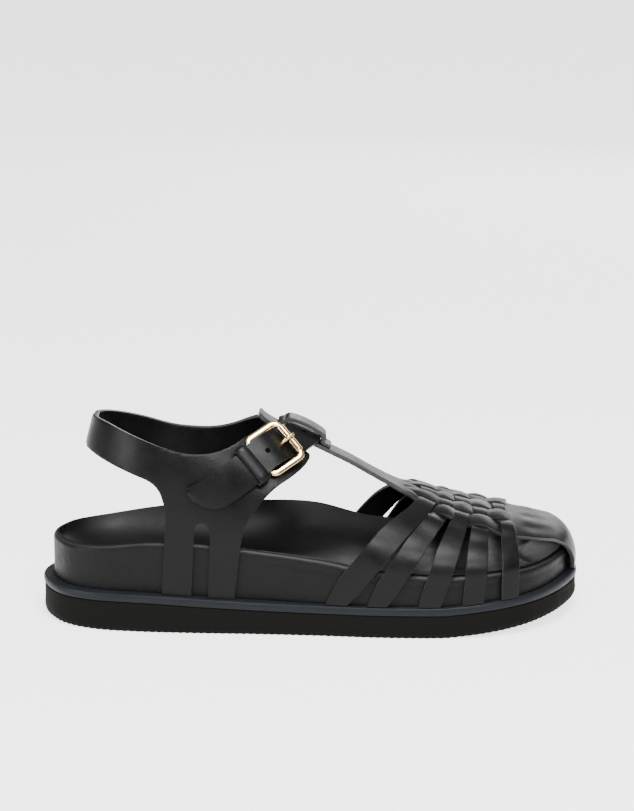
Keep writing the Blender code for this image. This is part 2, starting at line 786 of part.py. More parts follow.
def quarter(material):
    """Outer panel, heel strap and inner panel: the last's wall kept inside the two side outlines."""
    turns = np.linspace(0, math.pi / 2, 8)
    front = float(x_at(0.512))
    straight = np.linspace(0, 1, 12)[1:]
    levels = np.linspace(0, 1, 14)
    columns = []
    for side in (-1, 1):
        half = []
        for turn in turns:
            half.append(("turn", turn))
        for share in straight:
            half.append(("straight", share))
        if side < 0:
            half = half[::-1]
        else:
            half = half[1:]
        for kind, value in half:
            columns.append((side, kind, value))
    grid = np.zeros((len(columns), len(levels), 3))
    for i, (side, kind, value) in enumerate(columns):
        for j, level in enumerate(levels):
            grid[i, j] = quarter_point(side, kind, value, level, front)
    made = sheet("quarter", grid[::-1], LEATHER, material)
    low = -BALL_WIDTH
    high = BALL_WIDTH
    meet = BALL_WIDTH * 0.02
    outer = side_plate("outer_outline", rounded(OUTER_PANEL, COLLAR_HEIGHT), low, meet, material)
    inner = side_plate("inner_outline", rounded(INNER_PANEL, COLLAR_HEIGHT), meet - LEATHER, high, material)
    boolean(outer, inner, "UNION")
    boolean(made, outer, "INTERSECT")
    slot = side_plate("slot", rounded(PANEL_SLOT, COLLAR_HEIGHT), low, high, material)
    boolean(made, slot, "DIFFERENCE")
    ends = [(x_at(0.39), 0.5 * COLLAR_HEIGHT), (x_at(0.55), 0.5 * COLLAR_HEIGHT),
            (x_at(0.55), 1.2 * COLLAR_HEIGHT), (x_at(0.39), 1.2 * COLLAR_HEIGHT)]
    gap = side_plate("tab_gap", np.array(ends), BALL_WIDTH * OUTER_TAB_END, BALL_WIDTH * INNER_TAB_END, material)
    boolean(made, gap, "DIFFERENCE")
    return made


def quarter_point(side, kind, value, level, front):
    """A point of the wall at a place round the heel and a share of the wall's height."""
    x_probe = x_at(0.08) if kind == "turn" else x_at(0.08) + value * (front - x_at(0.08))
    station = float(station_at(x_probe))
    foot = float(ledge_height(station)) + CLEARANCE
    crown = float(INSTEP_HEIGHT * read(LAST, "crown", station))
    rim = float(rim_height(station, side))
    top = min(rim + 0.97 * (crown - rim), COLLAR_HEIGHT * 1.06)
    z = foot + (top - foot) * level
    back = float(x_at(0)) + HEEL_BACK + HEEL_LEAN * (z - 0.86 * COLLAR_HEIGHT)
    if kind == "turn":
        x = back + HEEL_ROUND * (1 - math.cos(value))
    else:
        start = back + HEEL_ROUND
        x = start + value * (front - start)
    depth = min((x - back) / HEEL_ROUND, 1.0)
    narrowing = (1 - (1 - depth) ** HEEL_FULLNESS) ** (1 / HEEL_FULLNESS)
    middle, half = wall_half_width(x, z, side)
    return np.array([x, float(middle) + side * float(half) * narrowing, z])


# The ankle strap and its buckle


def strap_underside(ride):
    """Lift of the ankle strap's underside: on the T-bar or the quarter's tab, or up over the inner bar."""
    return 2 * CLEARANCE + TBAR_LEATHER + ride * BUCKLE_BAR


def ankle_place(girth_share):
    station = float(read(ANKLE_STRAP, "station", girth_share, "girth"))
    return float(x_at(station)), float(girth_share * INSTEP_HEIGHT)


def ankle_frame(girth_share, lift):
    """Place, along-strap, across-strap and outward directions at a point of the ankle strap."""
    step = 0.02
    facing = float(read(ANKLE_STRAP, "facing", girth_share, "girth"))
    outward = last_normal(*ankle_place(facing))
    along = last_point(*ankle_place(girth_share + step)) - last_point(*ankle_place(girth_share - step))
    along -= outward * (along @ outward)
    along /= np.linalg.norm(along)
    place = last_point(*ankle_place(girth_share)) + lift * outward
    return place, along, np.cross(outward, along), outward


def ankle_strap(material):
    """The strap as one flat band, its free tip rounded, with the prong's hole and two spare ones."""
    shares = np.linspace(ANKLE_STRAP["girth"][0], ANKLE_STRAP["girth"][-1], 44)
    centres = []
    normals = []
    for share in shares:
        lift = strap_underside(float(read(ANKLE_STRAP, "ride", share, "girth")))
        centre, along, across, outward = ankle_frame(share, lift)
        centres.append(centre)
        normals.append(outward)
    grid = band_grid(np.array(centres), np.array(normals), np.full(len(shares), ANKLE_STRAP_WIDTH))
    grid = rounded_tip(grid)
    made = sheet("ankle_strap", grid, ANKLE_STRAP_LEATHER, material)
    for place in SPARE_HOLE_PLACES:
        boolean(made, hole_tool(place, material), "DIFFERENCE")
    prong_hole = tube("prong_hole", prong_run()[3:], PRONG_DIAMETER + 3 * CLEARANCE, material)
    boolean(made, as_tool(as_mesh(prong_hole)), "DIFFERENCE")
    return made


def rounded_tip(grid):
    """Draw the first rows in to a rounded tip, more on the lower edge."""
    shaped = grid.copy()
    for row, (upper, lower) in enumerate(((0.90, 0.42), (0.98, 0.72), (1.0, 0.90), (1.0, 0.98))):
        middle = (grid[row, 0] + grid[row, 1]) / 2
        shaped[row, 1] = middle + (grid[row, 1] - middle) * upper
        shaped[row, 0] = middle + (grid[row, 0] - middle) * lower
    return shaped


def hole_tool(place, material):
    ride = float(read(ANKLE_STRAP, "ride", place, "girth"))
    middle, along, across, outward = ankle_frame(place, strap_underside(ride) + ANKLE_STRAP_LEATHER / 2)
    points = [middle - outward * 2 * ANKLE_STRAP_LEATHER, middle + outward * 2 * ANKLE_STRAP_LEATHER]
    return as_tool(as_mesh(tube("hole", points, STRAP_HOLE, material)))


def keeper_loop(material):
    """A flat ring of thin leather round the ankle strap."""
    ride = float(read(ANKLE_STRAP, "ride", KEEPER_PLACE, "girth"))
    low = strap_underside(ride) - 4 * CLEARANCE
    high = strap_underside(ride) + ANKLE_STRAP_LEATHER + 5 * CLEARANCE
    middle, along, across, outward = ankle_frame(KEEPER_PLACE, 0.0)
    half = ANKLE_STRAP_WIDTH / 2 + 5 * CLEARANCE
    round_off = (high - low) * 0.22
    section = [(-half + round_off, low), (half - round_off, low), (half, low + round_off),
               (half, high - round_off), (half - round_off, high), (-half + round_off, high),
               (-half, high - round_off), (-half, low + round_off)]
    rows = []
    for side, lift in section:
        centre = middle + across * side + outward * lift
        rows.append([centre - along * KEEPER_WIDTH / 2, centre + along * KEEPER_WIDTH / 2])
    vertices = np.array(rows)
    count = len(section)
    faces = [(2 * i, 2 * ((i + 1) % count), 2 * ((i + 1) % count) + 1, 2 * i + 1) for i in range(count)]
    made = mesh_object("keeper_loop", vertices.reshape(-1, 3), faces, material)
    return thicken(made, KEEPER_LEATHER)


def buckle_bars():
    """The middles of the buckle's inner bar and roller, with the across and outward directions."""
    inner_lift = 3 * CLEARANCE + LEATHER + BUCKLE_BAR / 2
    roller_ride = float(read(ANKLE_STRAP, "ride", ROLLER_PLACE, "girth"))
    roller_lift = strap_underside(roller_ride) + ANKLE_STRAP_LEATHER + 2 * CLEARANCE + ROLLER_DIAMETER / 2
    inner_bar, along, across, outward = ankle_frame(INNER_BAR_PLACE, inner_lift)
    roller_bar, along, across_far, outward_far = ankle_frame(ROLLER_PLACE, roller_lift)
    forward = roller_bar - inner_bar
    across = across + across_far
    across -= forward * (across @ forward) / (forward @ forward)
    across /= np.linalg.norm(across)
    outward = np.cross(forward, across)
    return inner_bar, roller_bar, across, outward / np.linalg.norm(outward)


def tube(name, points, diameter, material, cyclic=False):
    """A round wire along a run of points."""
    curve = bpy.data.curves.new(name, "CURVE")
    curve.dimensions = "3D"
    curve.bevel_depth = diameter / 2
    curve.bevel_resolution = 2
    curve.use_fill_caps = not cyclic
    spline = curve.splines.new("POLY")
    spline.points.add(len(points) - 1)
    for point, place in zip(spline.points, points):
        point.co = (*place, 1.0)
    spline.use_cyclic_u = cyclic
    curve.materials.append(material)
    made = bpy.data.objects.new(name, curve)
    bpy.data.collections[OBJECT_NAME].objects.link(made)
    return made


def as_mesh(made):
    """A curve object made into a welded mesh object."""
    name = made.name
    seen = made.evaluated_get(bpy.context.evaluated_depsgraph_get())
    mesh = bpy.data.meshes.new_from_object(seen)
    shape = bmesh.new()
    shape.from_mesh(mesh)
    bmesh.ops.remove_doubles(shape, verts=shape.verts, dist=0.00001)
    bmesh.ops.recalc_face_normals(shape, faces=shape.faces)
    shape.to_mesh(mesh)
    shape.free()
    place = made.matrix_world.copy()
    bpy.data.objects.remove(made, do_unlink=True)
    copy = bpy.data.objects.new(name, mesh)
    copy.matrix_world = place
    bpy.data.collections[OBJECT_NAME].objects.link(copy)
    return copy


def buckle_frame(material):
    """Rounded rectangle of wire from under the strap at its inner bar to over it at the roller."""
    inner_bar, roller_bar, across, outward = buckle_bars()
    half = BUCKLE_WIDTH / 2
    corners = [inner_bar - across * half, inner_bar + across * half,
               roller_bar + across * half, roller_bar - across * half]
    points = []
    for i, corner in enumerate(corners):
        before = corners[i - 1] - corner
        after = corners[(i + 1) % 4] - corner
        start = corner + before / np.linalg.norm(before) * BUCKLE_BAR
        end = corner + after / np.linalg.norm(after) * BUCKLE_BAR
        for t in np.linspace(0, 1, 4):
            points.append((1 - t) ** 2 * start + 2 * t * (1 - t) * corner + t * t * end)
    return tube("buckle_frame", points, BUCKLE_BAR, material, cyclic=True)


def buckle_roller(material):
    """A sleeve that turns on the buckle's outer bar."""
    inner_bar, roller_bar, across, outward = buckle_bars()
    half = BUCKLE_WIDTH / 2 - BUCKLE_BAR - CLEARANCE
    made = as_mesh(tube("buckle_roller", [roller_bar - across * half, roller_bar + across * half],
                        ROLLER_DIAMETER, material))
    bore = as_mesh(tube("bore", [roller_bar - across * half * 2, roller_bar + across * half * 2],
                        BUCKLE_BAR + 2 * CLEARANCE, material))
    boolean(made, as_tool(bore), "DIFFERENCE")
    return made


def prong_run():
    """The prong's middle line: under the strap from the inner bar, up through its hole, on to the roller."""
    inner_bar, roller_bar, across, outward = buckle_bars()
    forward = roller_bar - inner_bar
    length = np.linalg.norm(forward)
    forward /= length
    ahead = []
    above = []
    for place in np.linspace(INNER_BAR_PLACE, ROLLER_PLACE, 16):
        ride = float(read(ANKLE_STRAP, "ride", place, "girth"))
        underside = ankle_frame(place, strap_underside(ride))[0] - inner_bar
        ahead.append(underside @ forward)
        above.append(underside @ outward)
    hole = PRONG_HOLE_SHARE * length
    dip = hole - 1.5 * PRONG_DIAMETER
    beside = PRONG_DIAMETER / 2 + CLEARANCE
    rest = ROLLER_DIAMETER / 2 + beside
    stops = {"row": np.arange(7.0), "ahead": np.array([
        BUCKLE_BAR / 2 + beside, dip / 2, dip, hole, length - ROLLER_DIAMETER * 0.6, length,
        length + ROLLER_DIAMETER * 0.5])}
    stops["above"] = np.array([
        0.0, np.interp(dip / 2, ahead, above) - beside, np.interp(dip, ahead, above) - beside,
        np.interp(hole, ahead, above) + ANKLE_STRAP_LEATHER / 2, rest * 0.9, rest, rest * 0.92])
    stops["above"][1] = min(stops["above"][1], 0.0)
    rows = np.linspace(0, 6, 13)
    path_ahead = read(stops, "ahead", rows, "row")
    path_above = read(stops, "above", rows, "row")
    return [inner_bar + forward * a + outward * b for a, b in zip(path_ahead, path_above)]


def buckle_prong(material):
    """Wire from the inner bar up through the strap's hole, resting on the roller."""
    return as_mesh(tube("buckle_prong", prong_run(), PRONG_DIAMETER, material))


def plain_material(name, colour, roughness, metallic=0.0):
    material = bpy.data.materials.new(name)
    material.use_nodes = True
    shader = material.node_tree.nodes["Principled BSDF"]
    shader.inputs["Base Color"].default_value = (*colour, 1.0)
    shader.inputs["Roughness"].default_value = roughness
    shader.inputs["Metallic"].default_value = metallic
    return material


def main():
    for old in list(bpy.data.objects):
        bpy.data.objects.remove(old, do_unlink=True)
    for name in (OBJECT_NAME, "tools"):
        bpy.context.scene.collection.children.link(bpy.data.collections.new(name))
    leather = plain_material("black_leather", (0.018, 0.018, 0.020), 0.38)
    foam = plain_material("black_foam", (0.016, 0.015, 0.013), 0.80)
    runner = plain_material("slate_runner", (0.035, 0.038, 0.046), 0.60)
    gold = plain_material("gold_metal", (0.80, 0.56, 0.26), 0.18, 1.0)
    outsole(foam)
    welt(runner)
    footbed(leather)
    insole(leather)
    vamp(leather)
    quarter(leather)
    ankle_strap(leather)
    keeper_loop(leather)
    buckle_frame(gold)
    buckle_roller(gold)
    buckle_prong(gold)


if __name__ == "__main__":
    main()
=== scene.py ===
"""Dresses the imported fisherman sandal: smooth leather straps, footbed, runner, foam sole and gold buckle."""
import math

import bpy
import numpy as np
from bpy.props import FloatProperty, FloatVectorProperty, PointerProperty
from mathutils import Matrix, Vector
from mathutils.geometry import delaunay_2d_cdt


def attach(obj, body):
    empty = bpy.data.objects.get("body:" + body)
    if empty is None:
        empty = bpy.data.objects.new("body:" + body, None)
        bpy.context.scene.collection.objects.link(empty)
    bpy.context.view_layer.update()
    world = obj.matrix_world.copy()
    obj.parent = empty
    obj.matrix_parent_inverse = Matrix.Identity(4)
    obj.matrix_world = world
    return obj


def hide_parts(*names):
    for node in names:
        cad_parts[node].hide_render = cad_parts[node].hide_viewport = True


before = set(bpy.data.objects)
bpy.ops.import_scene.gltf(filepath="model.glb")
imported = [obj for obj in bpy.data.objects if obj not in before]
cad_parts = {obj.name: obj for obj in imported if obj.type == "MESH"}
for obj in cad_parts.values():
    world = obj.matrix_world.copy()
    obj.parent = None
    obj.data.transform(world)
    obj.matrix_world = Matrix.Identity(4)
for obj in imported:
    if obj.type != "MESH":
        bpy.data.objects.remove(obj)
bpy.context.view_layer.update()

bl_info = {
    "name": "Fisherman sandal",
    "version": (1, 0, 0),
    "blender": (4, 5, 0),
    "location": "3D View > Sidebar > Sandal",
    "description": "Leather, foam and metal pieces of a woven fisherman sandal",
    "category": "Add Mesh",
}

def table(names, rows):
    """A table as named columns."""
    return dict(zip(names.split(), np.array(rows, dtype=float).T))


# Driving dimensions, in metres
SOLE_LENGTH = 0.262
BALL_WIDTH = 0.095
OUTSOLE_THICKNESS = 0.0148
WELT_THICKNESS = 0.0042
WELT_LEDGE = 0.0050
TOE_SPRING = 0.0070
HEEL_RISE = 0.0012
RIM_HEIGHT = 0.0215
RIM_WIDTH = 0.0026
INSOLE_THICKNESS = 0.0012
INSTEP_HEIGHT = 0.0972
COLLAR_HEIGHT = 0.0992
LEATHER = 0.0020
WEAVE_SWING = 0.0011
TBAR_LEATHER = 0.0024
CROSS_STRAP_WIDTH = 0.0105
ANKLE_STRAP_WIDTH = 0.0168
ANKLE_STRAP_LEATHER = 0.0022
LOOP_WIDTH = 0.0110
KEEPER_WIDTH = 0.0048
KEEPER_LEATHER = 0.0012
BUCKLE_BAR = 0.0027
BUCKLE_WIDTH = 0.0214
ROLLER_DIAMETER = 0.0040
PRONG_DIAMETER = 0.0020
CLEARANCE = 0.0003

# The sole's plan: the two sides as shares of the ball width
OUTLINE = table("station lateral medial", [
    (0.000, 0.010, 0.010),
    (0.012, -0.135, 0.150),
    (0.038, -0.250, 0.262),
    (0.092, -0.340, 0.350),
    (0.172, -0.386, 0.392),
    (0.286, -0.415, 0.394),
    (0.400, -0.432, 0.378),
    (0.515, -0.458, 0.405),
    (0.630, -0.492, 0.462),
    (0.745, -0.498, 0.500),
    (0.832, -0.470, 0.480),
    (0.900, -0.385, 0.405),
    (0.950, -0.250, 0.305),
    (0.980, -0.115, 0.220),
    (1.000, 0.080, 0.080),
])
OUTLINE["turn"] = np.arccos(1 - 2 * OUTLINE["station"])

# The sole's side: shares of outsole thickness, welt ledge, and rim height for both rims and the seat
SIDE = table("station outsole ledge lateral_rim medial_rim seat", [
    (0.00, 0.96, 1.00, 0.98, 0.98, 0.50),
    (0.10, 1.00, 1.00, 0.99, 1.00, 0.46),
    (0.20, 0.99, 1.00, 1.14, 1.16, 0.47),
    (0.29, 0.91, 0.98, 1.20, 1.34, 0.52),
    (0.40, 0.82, 0.94, 1.12, 1.46, 0.58),
    (0.51, 0.77, 0.72, 1.00, 1.40, 0.60),
    (0.61, 0.76, 0.60, 0.80, 1.02, 0.56),
    (0.71, 0.76, 0.56, 0.69, 0.84, 0.51),
    (0.85, 0.75, 0.54, 0.61, 0.68, 0.46),
    (0.92, 0.71, 0.56, 0.56, 0.60, 0.42),
    (1.00, 0.65, 0.85, 0.55, 0.55, 0.40),
])

# The last over the footbed: crown height as a share of the instep height, the crown's place across as a
# share of the ball width, and how full the section is
LAST = table("station crown middle fullness", [
    (0.08, 1.400, 0.010, 2.75),
    (0.25, 1.174, 0.012, 2.75),
    (0.40, 1.000, 0.030, 2.20),
    (0.53, 0.827, 0.040, 2.10),
    (0.57, 0.772, 0.040, 2.10),
    (0.61, 0.709, 0.040, 2.10),
    (0.66, 0.638, 0.040, 2.10),
    (0.72, 0.573, 0.040, 2.10),
    (0.78, 0.527, 0.040, 2.10),
    (0.83, 0.498, 0.042, 2.10),
    (0.88, 0.480, 0.045, 2.10),
    (1.00, 0.400, 0.050, 2.10),
])

# The vamp's long piece up to the toe strap: half width as a share of the ball width, and the count of
# cross straps passed, which sets the weave
LONG_PIECE = table("station half_width passed", [
    (0.400, 0.057, -5.0),
    (0.408, 0.064, -4.5),
    (0.470, 0.066, -3.6),
    (0.560, 0.066, -1.9),
    (0.620, 0.068, -0.8),
    (0.660, 0.088, 0.00),
    (0.685, 0.135, 0.50),
    (0.716, 0.222, 1.00),
    (0.748, 0.262, 2.00),
    (0.780, 0.277, 3.00),
    (0.813, 0.288, 4.00),
    (0.850, 0.303, 5.00),
    (0.880, 0.305, 5.80),
])

# The toe strap from the weave to the welt: heights as shares of the instep height, the rest of ball width
TOE_STRAP = table("station height middle half_width drop", [
    (0.880, 0.479, 0.044, 0.305, 0.042),
    (0.905, 0.466, 0.050, 0.290, 0.040),
    (0.930, 0.452, 0.058, 0.265, 0.036),
    (0.953, 0.432, 0.068, 0.240, 0.034),
    (0.970, 0.404, 0.076, 0.215, 0.034),
    (0.981, 0.366, 0.084, 0.180, 0.030),
    (0.988, 0.318, 0.090, 0.145, 0.024),
    (0.991, 0.270, 0.093, 0.115, 0.016),
    (0.990, 0.217, 0.094, 0.100, 0.012),
])

# Cross straps: stations at the outer welt, outer strip, crown, inner strip and inner welt
CROSS_STRAPS = table("outer_foot outer_strip crown inner_strip inner_foot foot_width", [
    (0.547, 0.708, 0.716, 0.706, 0.552, 1.15),
    (0.621, 0.738, 0.748, 0.736, 0.628, 1.00),
    (0.716, 0.774, 0.780, 0.773, 0.737, 1.02),
    (0.795, 0.810, 0.813, 0.806, 0.792, 0.95),
    (0.862, 0.860, 0.850, 0.858, 0.868, 0.80),
])
BALL_STATION = 0.745
HEEL_RISE_END = 0.17
HEEL_CUP_END = 0.13
TOE_RIM_REACH = 0.10
SEAT_FULLNESS = 3.4
STRIP_COUNT = 5
STRIP_SHARE = 0.85
WEAVE_START, WEAVE_END = 0.1, 5.75
SLIT_START, SLIT_END = 0.55, 5.3
WOVEN_WIDTH_SHARE = 0.70
FOOT_PLACE = 6.0

# The ankle strap's middle line from its free tip over the instep to the inner quarter: stations, girths as
# shares of the instep height, how far it rides up over the buckle's inner bar, and the girth share whose
# slope it takes, which is steady through the buckle
ANKLE_STRAP = table("station girth ride facing", [
    (0.292, -0.665, 0.00, -0.665),
    (0.326, -0.582, 0.00, -0.582),
    (0.358, -0.490, 0.30, -0.480),
    (0.382, -0.420, 0.95, -0.380),
    (0.403, -0.350, 1.20, -0.290),
    (0.426, -0.275, 1.00, -0.275),
    (0.438, -0.235, 0.42, -0.265),
    (0.452, -0.195, 0.02, -0.255),
    (0.468, -0.125, 0.00, -0.170),
    (0.479, -0.060, 0.00, -0.060),
    (0.482, 0.030, 0.00, 0.030),
    (0.472, 0.130, 0.00, 0.130),
    (0.446, 0.250, 0.00, 0.250),
    (0.415, 0.350, 0.00, 0.350),
    (0.385, 0.440, 0.00, 0.440),
])
INNER_BAR_PLACE = -0.350
ROLLER_PLACE = -0.195
PRONG_HOLE_SHARE = 0.675
KEEPER_PLACE = -0.402
SPARE_HOLE_PLACES = (-0.060, -0.318)

# Side outlines of the quarter: station, height as a share of the collar height, corner radius in metres
OUTER_PANEL = [
    (0.020, 1.000, 0.0),
    (0.125, 1.005, 0.030),
    (0.270, 0.873, 0.050),
    (0.335, 0.873, 0.050),
    (0.395, 0.948, 0.020),
    (0.445, 0.915, 0.004),
    (0.489, 0.864, 0.003),
    (0.512, 0.826, 0.004),
    (0.478, 0.772, 0.020),
    (0.428, 0.703, 0.040),
    (0.376, 0.535, 0.050),
    (0.3585, 0.130, 0.0),
    (0.226, 0.130, 0.0),
    (0.237, 0.600, 0.030),
    (0.222, 0.738, 0.030),
    (0.083, 0.861, 0.030),
    (0.020, 0.862, 0.0),
]
INNER_PANEL = [
    (0.020, 1.000, 0.0),
    (0.105, 0.995, 0.020),
    (0.240, 0.862, 0.050),
    (0.330, 0.850, 0.050),
    (0.408, 0.955, 0.010),
    (0.445, 0.940, 0.004),
    (0.500, 0.826, 0.006),
    (0.428, 0.690, 0.040),
] + OUTER_PANEL[-7:]
PANEL_SLOT = [
    (0.2800, 0.100, 0.0),
    (0.2870, 0.500, 0.003),
    (0.2920, 0.550, 0.0035),
    (0.3110, 0.550, 0.0035),
    (0.3170, 0.480, 0.004),
    (0.3105, 0.100, 0.0),
]
OUTER_TAB_END = -0.137
INNER_TAB_END = 0.125
HEEL_BACK = 0.0235
HEEL_LEAN = 0.26
HEEL_ROUND = 0.040
HEEL_FULLNESS = 2.1

# Finer shapes that only the dressed shoe has, in metres; the crease's place is a station, its curve is in
# 1/m, and the tab's smoothing is a count
SAW_PERIOD = 0.0034
TREAD_PERIOD = 0.009
TREAD_DEPTH = 0.0009
TOE_CREASE = 0.885
TOE_CREASE_WIDTH = 0.0022
TOE_CREASE_CURVE = 20.0
STRIP_DOME = 0.00035
STRAP_DOME = 0.0002
ANKLE_STRAP_DOME = 0.0003
BAR_END_RISE = 0.0016
TROUGH_DEPTH = 0.0007
SHEET_TRIM = 0.0003
HOLE_RADIUS = 0.00135
TOE_TUCK = 0.0038
LOOP_SLOPE = 0.5
LOOP_CROWN_RISE = 0.0008
KEEPER_DOME = 0.0007
QUARTER_GRAIN = 0.0013
TAB_SMOOTHING = 60
# Rings of the footbed's rolled rim that take the lighter leather: wear with a painted highlight
RIM_WEAR_AND_HIGHLIGHT_RINGS = (12, 14)

# The ankle strap's tip, as shares of the strap's width, and the frame's side bars and corners
TIP_LENGTH = 0.72
TIP_CORNER = 0.10
TIP_CUT = 1.72
TIP_TAPER = 0.13
TAPER_LENGTH = 1.9
SIDE_BAR_START = 0.72
SIDE_BAR_WIDENING = 0.30
FRAME_BEND = 1.35

# The camera, in metres, millimetres and degrees, and the lights' shares of the main light's power
CAMERA_PLACE = (0.0, -1.3398, 0.4393)
CAMERA_TURN = (75.925, 0.0, -0.131)
CAMERA_LENS = 126.4
CAMERA_SENSOR = 36.0
LEFT_SHARE = 0.45
FRONT_SHARE = 0.80


def read(rows, column, place, axis="station"):
    """A table's column at any place: cubic pieces whose slopes follow the neighbouring rows."""
    places = rows[axis]
    values = rows[column]
    slopes = np.gradient(values, places)
    place = np.clip(np.asarray(place, dtype=float), places[0], places[-1])
    i = np.clip(np.searchsorted(places, place, side="right") - 1, 0, len(places) - 2)
    step = places[i + 1] - places[i]
    t = (place - places[i]) / step
    start = (1 + 2 * t) * (1 - t) ** 2 * values[i] + t * (1 - t) ** 2 * step * slopes[i]
    end = t * t * (3 - 2 * t) * values[i + 1] - t * t * (1 - t) * step * slopes[i + 1]
    return start + end


def x_at(station):
    return (np.asarray(station, dtype=float) - 0.5) * SOLE_LENGTH


def station_at(x):
    return np.asarray(x, dtype=float) / SOLE_LENGTH + 0.5


def ease(t):
    """Smooth step: 3t^2 - 2t^3 between 0 and 1."""
    t = np.clip(t, 0, 1)
    return t * t * (3 - 2 * t)


def signed_power(values, power):
    return np.sign(values) * np.abs(values) ** power


def unit(rows):
    """Each row over its own length."""
    return rows / np.linalg.norm(rows, axis=-1, keepdims=True)


def run_along(points):
    """Distance from the first point to each one, along the line."""
    return np.concatenate([[0.0], np.cumsum(np.linalg.norm(np.diff(points, axis=0), axis=1))])


def bunched(count):
    """Shares from -1 to 1 as a sine, closer together at both ends."""
    return np.sin(np.linspace(-math.pi / 2, math.pi / 2, count))


def arc(start, corner, end, t):
    """A quadratic arc that leaves towards the corner and comes in from it."""
    return (1 - t) ** 2 * start + 2 * t * (1 - t) * corner + t * t * end


# The sole's and the last's functions


def sole_sides(station):
    """Y of the sole's outer and inner side, read against the turn acos(1 - 2 station)."""
    turn = np.arccos(np.clip(1 - 2 * np.asarray(station, dtype=float), -1, 1))
    outer = BALL_WIDTH * read(OUTLINE, "lateral", turn, "turn")
    inner = BALL_WIDTH * read(OUTLINE, "medial", turn, "turn")
    return outer, inner


def floor_rise(station):
    """Flat from heel to ball, rising as a power of the distance past the ball, and a little at the heel."""
    station = np.asarray(station, dtype=float)
    toe = np.clip((station - BALL_STATION) / (1 - BALL_STATION), 0, 1) ** 1.1
    heel = np.clip(1 - station / HEEL_RISE_END, 0, 1) ** 2
    return TOE_SPRING * toe + HEEL_RISE * heel


def welt_bottom(station):
    return floor_rise(station) + OUTSOLE_THICKNESS * read(SIDE, "outsole", station)


def ledge_height(station):
    return welt_bottom(station) + WELT_THICKNESS


def ledge_width(station):
    return WELT_LEDGE * read(SIDE, "ledge", station)


def rim_height(station, side):
    low = ledge_height(station)
    outer = low + RIM_HEIGHT * read(SIDE, "lateral_rim", station)
    inner = low + RIM_HEIGHT * read(SIDE, "medial_rim", station)
    return np.where(np.asarray(side) < 0, outer, inner)


def plan_ring(inset, sections):
    """The sole's outline moved inwards by inset(station, run): outer side heel to toe, inner side back.

    Stations follow (1 - cos t) / 2, and run is the distance round the outline from the heel."""
    stations = (1 - np.cos(np.linspace(0, math.pi, sections + 1))) / 2
    outer, inner = sole_sides(stations)
    forward = np.stack([x_at(stations), outer], axis=1)
    back = np.stack([x_at(stations), inner], axis=1)[-2:0:-1]
    ring = np.concatenate([forward, back])
    along = unit(np.roll(ring, -1, axis=0) - np.roll(ring, 1, axis=0))
    inward = np.stack([-along[:, 1], along[:, 0]], axis=1)
    return ring + inward * np.asarray(inset(station_at(ring[:, 0]), run_along(ring)))[:, None]


def raised(plan, height, lift=0.0):
    """A ring of the sole at height(station) + lift."""
    return np.column_stack([plan, height(station_at(plan[:, 0])) + lift])


def seat_height(x, share):
    """The hollow: its middle height blended to the rims by 1 - (1 - |share|^SEAT_FULLNESS)(1 - end)."""
    station = station_at(x)
    seat = ledge_height(station) + RIM_HEIGHT * read(SIDE, "seat", station)
    rim = rim_height(station, share)
    heel = np.clip(1 - station / HEEL_CUP_END, 0, 1)
    toe = np.clip(1 - (1 - station) / TOE_RIM_REACH, 0, 1)
    end = np.maximum(heel ** 2.0, toe ** 2.4)
    rimness = 1 - (1 - np.abs(share) ** SEAT_FULLNESS) * (1 - end)
    return seat + (rim - seat) * rimness


def last_sections(x, points=200):
    """Y, Z and girth of cross-sections, one a row: |y|^n + |z|^n = 1 over the rims, upright under them."""
    station = station_at(np.asarray(x, dtype=float))[:, None]
    outer, inner = sole_sides(station)
    ledge = ledge_width(station)
    middle = BALL_WIDTH * read(LAST, "middle", station)
    crown = INSTEP_HEIGHT * read(LAST, "crown", station)
    fullness = read(LAST, "fullness", station)
    angle = np.linspace(0, math.pi / 2, points)[None]
    across = np.sin(angle) ** (2 / fullness)
    up = np.cos(angle) ** (2 / fullness)
    foot = ledge_height(station) + CLEARANCE
    halves = []
    for side, width in ((-1, middle - outer - ledge), (1, inner - ledge - middle)):
        rim = rim_height(station, side)
        y = middle + side * (width + CLEARANCE) * across
        z = rim + (crown - rim) * up
        y = np.concatenate([y, y[:, -1:]], axis=1)
        z = np.concatenate([z, foot], axis=1)
        steps = np.cumsum(np.hypot(np.diff(y, axis=1), np.diff(z, axis=1)), axis=1)
        girth = side * np.concatenate([np.zeros((len(steps), 1)), steps], axis=1)
        halves.append((y, z, girth))
    (outer_y, outer_z, outer_g), (inner_y, inner_z, inner_g) = halves
    return (np.concatenate([outer_y[:, ::-1], inner_y[:, 1:]], axis=1),
            np.concatenate([outer_z[:, ::-1], inner_z[:, 1:]], axis=1),
            np.concatenate([outer_g[:, ::-1], inner_g[:, 1:]], axis=1))


def last_points(x, girth):
    """Points of the last at these x and girths, straight between the section's points."""
    x = np.asarray(x, dtype=float)
    shape = np.broadcast(x, girth).shape
    flat_x = np.broadcast_to(x, shape).ravel()
    flat_g = np.broadcast_to(girth, shape).ravel()
    y, z, g = last_sections(flat_x)
    flat_g = np.clip(flat_g, g[:, 0], g[:, -1])
    i = np.clip((g <= flat_g[:, None]).sum(axis=1) - 1, 0, g.shape[1] - 2)
    rows = np.arange(len(flat_x))
    t = (flat_g - g[rows, i]) / (g[rows, i + 1] - g[rows, i])
    found = np.stack([flat_x, y[rows, i] + t * (y[rows, i + 1] - y[rows, i]),
                      z[rows, i] + t * (z[rows, i + 1] - z[rows, i])], axis=1)
    return found.reshape(shape + (3,))


def last_normals(x, girth, step=0.0012):
    """Outward directions: the cross product of the steps along x and along the girth."""
    x = np.asarray(x, dtype=float)
    along = last_points(x + step, girth) - last_points(x - step, girth)
    across = last_points(x, girth + step) - last_points(x, girth - step)
    return unit(np.cross(along, across))


def foot_girth(x, side):
    girths = last_sections(np.atleast_1d(x))[2]
    return girths[:, 0] if side < 0 else girths[:, -1]


# Meshes


